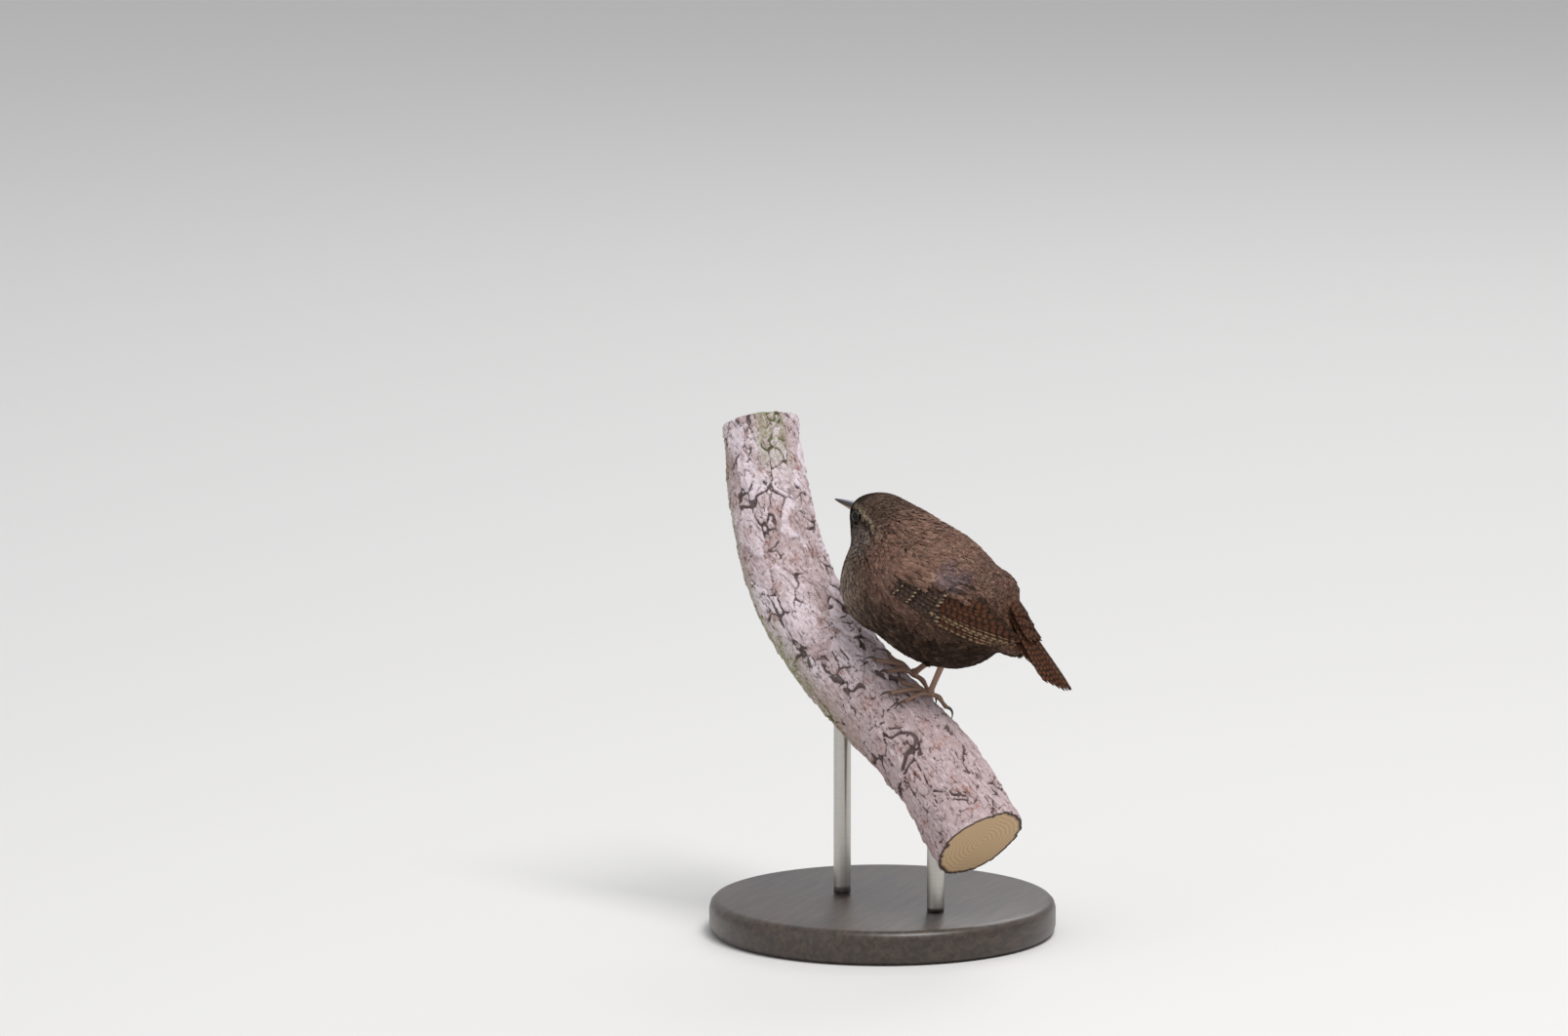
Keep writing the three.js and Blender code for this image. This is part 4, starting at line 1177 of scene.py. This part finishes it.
@piece_operator
class WREN_OT_bill(bpy.types.Operator):
    """Makes the two halves of the slim, slightly curved bill"""

    bl_idname = "wren.bill"
    bl_label = "Bill"

    def execute(self, context):
        for name, rise, slot in (("upper", BILL_UPPER, "horn"), ("lower", -BILL_LOWER, "horn_pale")):
            f = Finish(f"bill_{name}", roughness=0.32, specular_ior_level=0.5)
            around, along = f.map("OFBake")
            if rise > 0:
                # A pale stripe along the top of the upper bill, painted as its highlight.
                highlit_top = 1 - (around - 0.36).size().over(0.1, 0.24)
                tone = f.mix(BILL_DARK, BILL_PAINTED_HIGHLIGHT, highlit_top * along.over(0.02, 0.2) * 0.9)
            else:
                tone = f.mix(BILL_ROOT, BILL_TIP, along.over(0.25, 0.8))
            tone = f.mix(tone, BILL_SCUFF, f.noise(0.5, 3).over(0.55, 0.8) * 0.25)
            f.bump(f.noise(0.4, 3), 0.2, 0.1)
            points, quads, triangles, uv = self.half(rise)
            piece = make_mesh(f"bill_{name}_horn", points, [quads, triangles], uv=uv)
            settle(piece, f.set(base_color=tone), slot, f"bill_{name}")
        return {"FINISHED"}

    @staticmethod
    def half(rise):
        steps, sides = 48, 30
        share = np.linspace(0, 1, steps)
        taper = (1 - share) ** 0.8 * 0.95 + 0.05
        drop = -BILL_DROOP * share**2.2
        turn = np.linspace(0, np.pi, sides)
        flat = np.linspace(1, -1, 12)[1:-1]
        across = np.concatenate([-np.cos(turn), flat])
        high = np.concatenate([np.sin(turn) ** 0.85, np.full(len(flat), 0.0)])
        sign = np.sign(rise)
        left = across[None] * BILL_HALF * taper[:, None]
        up = BILL_LOW + drop[:, None] + sign * 0.08 + high[None] * rise * taper[:, None]
        if rise > 0:
            pit = np.exp(-(((share[:, None] - 0.3) / 0.05) ** 2) - ((high[None] - 0.45) / 0.2) ** 2)
            left = left * (1 - 0.18 * pit)
        rings = head_point(BILL_FROM + BILL_LENGTH * share[:, None] + 0 * left, left, up)
        n, k = rings.shape[:2]
        points = np.concatenate([rings.reshape(-1, 3), rings[0].mean(0)[None], rings[-1].mean(0)[None]])
        uv = np.stack([np.tile(np.linspace(0, 1, k), n), np.repeat(share, k)], -1)
        uv = np.concatenate([uv, [[0.5, 0], [0.5, 1]]])
        quads, triangles = ring_faces(n, k)
        if rise < 0:
            quads, triangles = quads[:, ::-1], triangles[:, ::-1]
        return points, quads, triangles, uv


# Branch


BRANCH_X = [-31.8, -22.5, -13.3, -3.2, 2.3, 7.9, 19.5]
BRANCH_Y = [-63.5, -55.4, -44.6, -23.3, -8.7, 5, 25.4]
BRANCH_Z = [67.4, 42.5, 20.8, 0, -10.9, -20.5, -41.2]
BRANCH_LINE = np.transpose([BRANCH_X, BRANCH_Y, BRANCH_Z])
BRANCH_RADII = [11.2, 12.2, 12.9, 13.1, 13.1, 13.3, 13.8]
FEET_ALONG = 0.68
BARK_RADIUS = 13  # the radius at which the bark's pattern is laid out
PLATE_SIZE, FLAKE_SIZE = (6.0, 6.0, 11.0), (2.4, 2.4, 5.0)
BARK_ROWS, BARK_COLUMNS, SAWN_RINGS = 420, 200, 24  # points along and round the bark, rings of a sawn end
BARK_SUNK = 0.25  # how far the bark's middle level lies under the solid's surface


class Branch:
    """The branch's middle line at even distances, with its crest, its left side and its radius."""

    def __init__(self):
        points = BRANCH_LINE
        ends = np.vstack([2 * points[0] - points[1], points, 2 * points[-1] - points[-2]])
        line = np.concatenate([self.piece(*ends[i : i + 4]) for i in range(len(ends) - 3)])
        steps = np.concatenate([[0], np.cumsum(np.linalg.norm(np.diff(line, axis=0), axis=1))])
        self.length = steps[-1]
        self.steps, self.line = steps / self.length, line

    @staticmethod
    def piece(p0, p1, p2, p3):
        """A centripetal curve from p1 to p2."""
        steps = [np.linalg.norm(far - near) ** 0.5 for near, far in ((p0, p1), (p1, p2), (p2, p3))]
        t0, t1, t2, t3 = np.concatenate([[0.0], np.cumsum(steps)])
        t = np.linspace(t1, t2, 60, endpoint=False)[:, None]

        def between(first, last, low, high):
            return (high - t) / (high - low) * first + (t - low) / (high - low) * last

        a1, a2, a3 = between(p0, p1, t0, t1), between(p1, p2, t1, t2), between(p2, p3, t2, t3)
        return between(between(a1, a2, t0, t2), between(a2, a3, t1, t3), t1, t2)

    def at(self, share):
        share = np.asarray(share, float)

        def point(s):
            return np.stack([np.interp(s, self.steps, self.line[:, i]) for i in range(3)], -1)

        along = unit(point(np.minimum(share + 0.006, 1)) - point(np.maximum(share - 0.006, 0)))
        crest = unit(UP - along * along[..., 2:3])
        side = np.cross(along, crest)
        radius = np.interp(share, np.linspace(0, 1, len(BRANCH_RADII)), BRANCH_RADII)
        return point(share), crest, side, radius

    def on(self, share, around, height=0.0):
        middle, crest, side, radius = self.at(share)
        reach = (radius + height)[..., None]
        return middle + crest * np.cos(around)[..., None] * reach + side * np.sin(around)[..., None] * reach


@cache
def branch():
    return Branch()


def bark_relief(share, around):
    """Height of the bark over the round form, how deep in a crack each place is (the mask that also paints
    shade under the lifted plate edges), and its plate's number.
    """
    b = branch()
    clear = smooth(14, 24, np.abs(share - FEET_ALONG) * b.length)
    lump = 0.6 * 0.45 * clear * (np.sin(3 * around + 11 * share) + 0.7 * np.sin(5 * around - 23 * share))
    ring = np.stack([np.cos(around) * BARK_RADIUS, np.sin(around) * BARK_RADIUS, share * b.length], -1)
    warp = np.stack([noise(ring, 7, seed) for seed in (31, 32, 33)], -1) * 6
    warp = warp + np.stack([noise(ring, 2, seed) for seed in (34, 35, 36)], -1) * 1.6
    ahead, edge, own = cells((ring + warp) / np.array(PLATE_SIZE), 40)
    ahead2, edge2, own2 = cells((ring + warp * 0.7) / np.array(FLAKE_SIZE), 50)
    open_edge = smooth(0.5, 0.66, noise(ring, 6, 71))
    # Cracks along the plate edges: the same mask later paints their dark tone, partly the cracks' own colour
    # and partly painted shade under the lifted plate edges.
    crack_and_shade = smooth(0.09, 0.015, edge) * (0.25 + 0.75 * open_edge)
    crack_and_shade = crack_and_shade + smooth(0.1, 0.02, edge2) * 0.7 * (own2 > 0.72)
    grain = noise(ring * [1, 1, 0.35], 0.9, 72)
    shingles = own * (0.5 + 0.7 * ahead) + own2 * (0.35 + 0.5 * ahead2)
    level = shingles + 0.45 * noise(ring, 2.2, 60) + 0.3 * noise(ring, 0.8, 61) + 0.15 * grain
    relief = (level - 0.95 - crack_and_shade * 0.8) * (settings("wren_branch").plate_relief / MM)
    return lump + relief, crack_and_shade, own


@piece_operator
class WREN_OT_branch(bpy.types.Operator):
    """Makes the cut branch with its flaking bark and sawn ends"""

    bl_idname = "wren.branch"
    bl_label = "Branch"

    def execute(self, context):
        rows, columns = BARK_ROWS, BARK_COLUMNS
        share = np.linspace(0, 1, rows)
        around = np.linspace(-np.pi, np.pi, columns, endpoint=False)
        s, a = np.meshgrid(share, around, indexing="ij")
        height, crack_and_shade, own = bark_relief(s, a)
        rings = branch().on(s, a, height - BARK_SUNK)
        uv = np.stack([(a + np.pi) / (2 * np.pi), s], -1)
        maps = {
            "Masks": np.stack([crack_and_shade, own], -1),
            "Bark": np.stack([a * BARK_RADIUS, s * branch().length], -1),
        }
        piece = make_mesh("perch_bark", rings, ring_faces(rows, columns, flip=True)[:1], uv=uv, maps=maps)
        settle(piece, self.bark_finish(), "bark", "perch")
        for name, end, inward in (("perch_sawn_top", 0, 1), ("perch_sawn_low", rows - 1, -1)):
            middle = rings[end].mean(0)
            spread = np.linspace(1, 0.02, SAWN_RINGS)
            points = np.concatenate([*(middle + (rings[end] - middle) * t for t in spread), [middle]])
            disc = ring_faces(SAWN_RINGS, columns)[0]
            inmost = disc[-columns:]
            tips = np.stack([inmost[:, 3], inmost[:, 2], np.full(columns, SAWN_RINGS * columns)], -1)
            if inward > 0:
                disc, tips = disc[:, ::-1], tips[:, ::-1]
            flat = np.concatenate([np.repeat(spread, columns), [0]])
            turned = np.concatenate([np.tile(around, SAWN_RINGS), [0]])
            uv = 0.5 + 0.48 * flat[:, None] * np.stack([np.cos(turned), np.sin(turned)], -1)
            cut = make_mesh(name, points, [disc, tips], uv=uv, maps={"Sawn": np.stack([flat, turned], -1)})
            settle(cut, self.sawn_finish(), "bark")
        return {"FINISHED"}

    @staticmethod
    def bark_finish():
        c = settings("wren_branch")
        f = Finish("bark", roughness=0.88, specular_ior_level=0.2)
        crack_and_shade, own = f.map("Masks")
        around, along = f.map("Bark")
        drawn = f.stretched(BRANCH_LINE[5] - BRANCH_LINE[2], 4)
        broad = f.noise(14, 3)
        fine = f.noise(1.1, 5, 0.65)
        streak = f.noise(0.8, 4, 0.65, drawn, 0.8)
        # Pale weathered faces of the plates, fading out towards the branch's lower end; this fade is painted
        # shade.
        weathered_and_lower_shade = (own * 0.35 + fine * 0.9 + broad * 0.7).over(0.7, 1.15) * (1 - along.over(60, 120) * 0.8)
        plate = f.mix(paint(c.bark), paint(c.bark_pale), weathered_and_lower_shade)
        peeled = f.noise(6, 4, 0.65).over(0.53, 0.68) * streak.over(0.35, 0.6)
        warm = f.mix(plate, paint(c.bark_red), peeled * 0.75)
        lined = f.mix(warm, paint(c.bark_dark), streak.over(0.54, 0.64) * 0.6)
        lined = f.mix(lined, paint(c.bark_pale), (1 - streak.over(0.36, 0.44)) * 0.5)
        # Dark cracks: partly their own colour, partly painted shade under the lifted plate edges.
        cracked = f.mix(lined, paint(c.bark_dark), crack_and_shade.over(0.2, 0.7) * 0.85)
        under = around.size().over(16, 30) * (1 - along.over(70, 120))
        crown = (1 - along.over(8, 24)) * (1 - around.size().over(3, 8)) * 0.7
        green = f.noise(4, 5, 0.75).over(0.36, 0.52) * under.most(crown)
        mossy = f.mix(cracked, paint(c.moss), green * f.noise(0.5, 2).over(0.3, 0.6) * 0.9)
        f.bump(fine * 0.5 + streak * 0.5, 0.8, 0.6)
        return f.set(base_color=mossy)

    @staticmethod
    @cache
    def sawn_finish():
        c = settings("wren_branch")
        f = Finish("sawn_wood", roughness=0.75)
        out = f.map("Sawn")[0]
        rings = ((out * 62 + f.noise(5, 3) * 3).sine() + 1) * 0.5
        wood = f.mix(paint(c.sawn), WOOD_RING, rings * 0.45)
        rim = f.mix(wood, paint(c.bark_dark), out.over(0.9, 0.96))
        f.bump(rings, 0.2, 0.1)
        return f.set(base_color=rim)


# Legs and feet


FEET = {
    "left": {"along": 5.2, "around": -15, "turn": 24, "rise": (1.3, 4.1, 8.4)},
    "right": {"along": -4.6, "around": -25, "turn": 38, "rise": (-3.6, 5.4, 4.6)},
}
# Each toe's name, turn in degrees, length, radius and number of joints
TOES = [
    ("inner", 25, 9.0, 0.72, 2),
    ("middle", 0, 12.4, 0.78, 3),
    ("outer", -25, 10.2, 0.72, 3),
    ("hind", 180, 7.8, 0.82, 2),
]
TARSUS_LENGTH, CLAW_LENGTH, HIND_CLAW_LENGTH = 17.5, 4.0, 5.4
TOE_STEPS, CLAW_STEPS, TARSUS_STEPS = 40, 24, 60  # points along each


def toe_path(foot, turn, height, first, last, steps):
    start = FEET_ALONG + foot["along"] / branch().length
    turned = angle(foot["turn"] + turn)
    distance = np.linspace(first, last, steps)
    radius = branch().at(start)[3]
    share = start - np.sin(turned) * distance / branch().length
    around = angle(foot["around"]) + np.cos(turned) * distance / (radius + 1)
    return branch().on(share, around, height(np.linspace(0, 1, steps)))


@piece_operator
class WREN_OT_feet(bpy.types.Operator):
    """Makes the legs, toes and claws that grip the branch"""

    bl_idname = "wren.feet"
    bl_label = "Legs and feet"

    def execute(self, context):
        skin, horn = self.leg_finish(), self.claw_finish()
        for name, foot in FEET.items():
            parts, claws = [], []
            for toe, turn, length, radius, joints in TOES:
                share = np.linspace(0, 1, TOE_STEPS)
                knuckle = 0.13 * np.sin(np.pi * joints * share) ** 2
                scute = 0.014 * np.abs(np.sin(np.pi * length * 1.5 * share))
                radii = radius * (1.08 - 0.3 * share) - knuckle + scute

                def arch(t, radius=radius):
                    return radius + 0.12 + 0.45 * np.sin(np.pi * np.minimum(1, t * 1.15)) ** 2

                path = toe_path(foot, turn, arch, 0, length, TOE_STEPS)
                parts.append(tube(path, radii, 14, side_hint=[0.3, 0.5, 0.8]))
                claw = HIND_CLAW_LENGTH if toe == "hind" else CLAW_LENGTH

                def hook(t, low=radius * 0.75 + 0.12):
                    return low + 1.25 * np.sin(np.pi * np.minimum(1, t * 0.95)) - (low - 0.45) * t

                path = toe_path(foot, turn, hook, length - 0.2, length + 0.3 + claw * 0.86, CLAW_STEPS)
                share = np.linspace(0, 1, CLAW_STEPS)
                claws.append(tube(path, 0.56 * (1 - 0.88 * share**1.3), 12, side_hint=[0.3, 0.5, 0.8]))
            start = FEET_ALONG + foot["along"] / branch().length
            joint = branch().on(np.array(start), np.array(angle(foot["around"])), np.array(1.5))
            rise = unit(np.array(foot["rise"], float))
            share = np.linspace(0, 1, TARSUS_STEPS)
            path = joint + np.multiply.outer(share * TARSUS_LENGTH, rise)
            radii = 0.98 + 0.4 * share**2 + 0.25 * np.exp(-((share / 0.06) ** 2))
            radii = radii + 0.015 * np.abs(np.sin(share * 40))
            parts.append(tube(path, radii, 18, flat=0.85, side_hint=[1, 0, 0]))
            parts.append(ball(joint, 1.3, 12, 18))
            points, quads, triangles, uv = gather(parts)
            flat = uv * [1, 0.055]
            piece = make_mesh(f"foot_{name}_skin", points, [quads, triangles], uv=flat, maps={"Leg": uv})
            settle(piece, skin, "leg", f"foot_{name}", f"leg_{name}")
            points, quads, triangles, uv = gather(claws)
            flat = uv * [1, 0.15]
            piece = make_mesh(f"claws_{name}", points, [quads, triangles], uv=flat, maps={"Leg": uv})
            settle(piece, horn, "claw", *(f"claw_{name}_{toe[0]}" for toe in TOES))
        return {"FINISHED"}

    @staticmethod
    def leg_finish():
        f = Finish("leg_skin", roughness=0.5, specular_ior_level=0.4)
        around, along = f.map("Leg")
        scale = ((along * 7.5).sine().size() ** 0.5) * (0.6 + 0.4 * (around * 12.56).sine().size())
        tone = f.mix(LEG_DARK, LEG_PALE, scale * 0.7 + f.noise(0.8, 3) * 0.4)
        f.bump(scale, 0.35, 0.1)
        return f.set(base_color=tone)

    @staticmethod
    def claw_finish():
        f = Finish("claw_horn", roughness=0.35)
        along = f.map("Leg")[1]
        tone = f.mix(CLAW_ROOT, CLAW_TIP, along.over(0.5, 3.5))
        return f.set(base_color=tone)


# Stand and stage


# The base's outline from its lower edge to its upper edge: distance from the middle and height
BASE_OUTLINE = np.array(
    [[46.8, 0], [48.8, 0.3], [49.7, 1.2], [50, 2.6], [50, 7.2], [49.6, 8.6], [48.6, 9.6], [47, 10]]
)
BASE_HEIGHT, BASE_SIDES = 10.0, 160
ROD_RADIUS, ROD_STEPS = 2.5, 24
SKY_STRENGTH = 0.58
# Each lamp's way from the bird as parts of right, up and back, its distance and size in metres, and its power
LAMPS = {
    "key": ((0.3, 0.95, 0.5), 1.5, 0.7, 17),
    "fill": ((-0.9, 0.3, 0.7), 1.6, 1.2, 3),
    "rim": ((0.3, 0.9, -0.8), 1.6, 0.8, 5),
}
AIM_RIGHT, AIM_UP = -39.9, 47.9  # the picture's middle from the point between the feet


@piece_operator
class WREN_OT_stand(bpy.types.Operator):
    """Finishes the flat round base and the two rods that carry the branch"""

    bl_idname = "wren.stand"
    bl_label = "Stand"

    def execute(self, context):
        f = Finish("stand_wood", roughness=0.42, coat_weight=0.25, coat_roughness=0.25)
        spot = f.add("ShaderNodeMapping", None, {"Vector": f.place(), "Scale": (1, 9, 9)})
        grain = f.noise(16, 6, 0.6, spot, 0.6)
        tone = f.mix(STAND_DARK, STAND_PALE, grain.over(0.3, 0.75))
        f.bump(grain, 0.15, 0.2)
        base = f.set(base_color=tone)
        turn = np.linspace(0, 2 * np.pi, BASE_SIDES, endpoint=False)
        out, high = BASE_OUTLINE[:, :1], BASE_OUTLINE[:, 1:]
        ring = np.stack([out * np.cos(turn), out * np.sin(turn), np.repeat(high, BASE_SIDES, 1)], -1)
        points = np.concatenate([ring.reshape(-1, 3), [[0, 0, 0], [0, 0, BASE_HEIGHT]]]) - FEET_AT
        uv = 0.5 + (points + FEET_AT)[:, :2] / 110
        piece = make_mesh("stand_plinth", points, ring_faces(len(BASE_OUTLINE), BASE_SIDES), uv=uv)
        settle(piece, base, "stand", "stand_base")
        g = Finish("stand_rod_metal", metallic=1.0, roughness=0.3)
        brushed = g.add("ShaderNodeMapping", None, {"Vector": g.place(), "Scale": (1, 1, 30)})
        streak = g.noise(6, 3, 0.5, brushed)
        metal = g.set(base_color=g.mix(METAL_DARK, METAL_PALE, streak))
        for name in ("front", "rear"):
            low, high = (np.array(v) / MM - FEET_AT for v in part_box(f"stand_rod_{name}"))
            middle = (low + high) / 2
            heights = np.linspace(low[2], high[2] - 0.4, ROD_STEPS)
            path = np.stack([*(np.full(ROD_STEPS, middle[axis]) for axis in (0, 1)), heights], -1)
            points, quads, triangles, uv = tube(path, np.full(ROD_STEPS, ROD_RADIUS), 40, side_hint=[1, 0, 0])
            rod = make_mesh(f"stand_rod_{name}_round", points, [quads, triangles], uv=uv * [1, 0.015])
            settle(rod, metal, "rod", f"stand_rod_{name}")
        return {"FINISHED"}


@piece_operator
class WREN_OT_stage(bpy.types.Operator):
    """Sets the pale floor, the soft lights and the camera"""

    bl_idname = "wren.stage"
    bl_label = "Stage"

    def execute(self, context):
        s = settings("wren_stage")
        scene = context.scene
        bpy.ops.mesh.primitive_plane_add(size=30)
        floor = context.object
        floor.name = "floor"
        f = Finish("floor_paper", roughness=0.9)
        floor.data.materials.append(f.set(base_color=FLOOR_GREY))
        scene.view_settings.view_transform = "Standard"
        scene.world = scene.world or bpy.data.worlds.new("studio")
        scene.world.use_nodes = True
        sky = scene.world.node_tree.nodes["Background"]
        sky.inputs["Color"].default_value = (*SKY_GREY, 1)
        sky.inputs["Strength"].default_value = SKY_STRENGTH
        a, e = s.azimuth, s.elevation
        right = np.array([np.cos(a), np.sin(a), 0])
        back = np.array([np.sin(a) * np.cos(e), -np.cos(a) * np.cos(e), np.sin(e)])
        up = np.cross(back, right)
        aim = (FEET_AT + AIM_RIGHT * right + AIM_UP * up) * MM
        camera = bpy.data.objects.new("camera", bpy.data.cameras.new("camera"))
        camera.data.sensor_width = 36
        camera.data.lens = 36 * s.distance / s.view_width
        camera.data.clip_end = 100
        camera.location = aim + back * s.distance
        camera.rotation_euler = Vector(back).to_track_quat("Z", "Y").to_euler()
        scene.collection.objects.link(camera)
        scene.camera = camera
        for name, (way, *rest) in LAMPS.items():
            self.light(name, aim, right * way[0] + up * way[1] + back * way[2], *rest)
        return {"FINISHED"}

    @staticmethod
    def light(name, aim, way, distance, size, power):
        lamp = bpy.data.objects.new(name, bpy.data.lights.new(name, "AREA"))
        lamp.data.size, lamp.data.energy = size, power
        way = unit(way)
        lamp.location = aim + way * distance
        lamp.rotation_euler = Vector(way).to_track_quat("Z", "Y").to_euler()
        bpy.context.scene.collection.objects.link(lamp)


class WREN_PT_panel(bpy.types.Panel):
    """Lists the wren's pieces"""

    bl_idname = "WREN_PT_panel"
    bl_label = "Wren"
    bl_space_type = "VIEW_3D"
    bl_region_type = "UI"
    bl_category = "Wren"

    def draw(self, context):
        for cls in OPERATORS:
            self.layout.operator(cls.bl_idname)
        for group in GROUPS:
            for prop in getattr(context.scene, group).bl_rna.properties:
                if prop.identifier not in ("rna_type", "name"):
                    self.layout.prop(getattr(context.scene, group), prop.identifier)


CLASSES.append(WREN_PT_panel)


def register():
    for cls in CLASSES:
        bpy.utils.register_class(cls)
    for name, group in GROUPS.items():
        setattr(bpy.types.Scene, name, bpy.props.PointerProperty(type=group))


def unregister():
    for name in GROUPS:
        delattr(bpy.types.Scene, name)
    for cls in reversed(CLASSES):
        bpy.utils.unregister_class(cls)


def main():
    register()
    for cls in OPERATORS:
        space, name = cls.bl_idname.split(".")
        getattr(getattr(bpy.ops, space), name)()


if __name__ == "__main__":
    main()
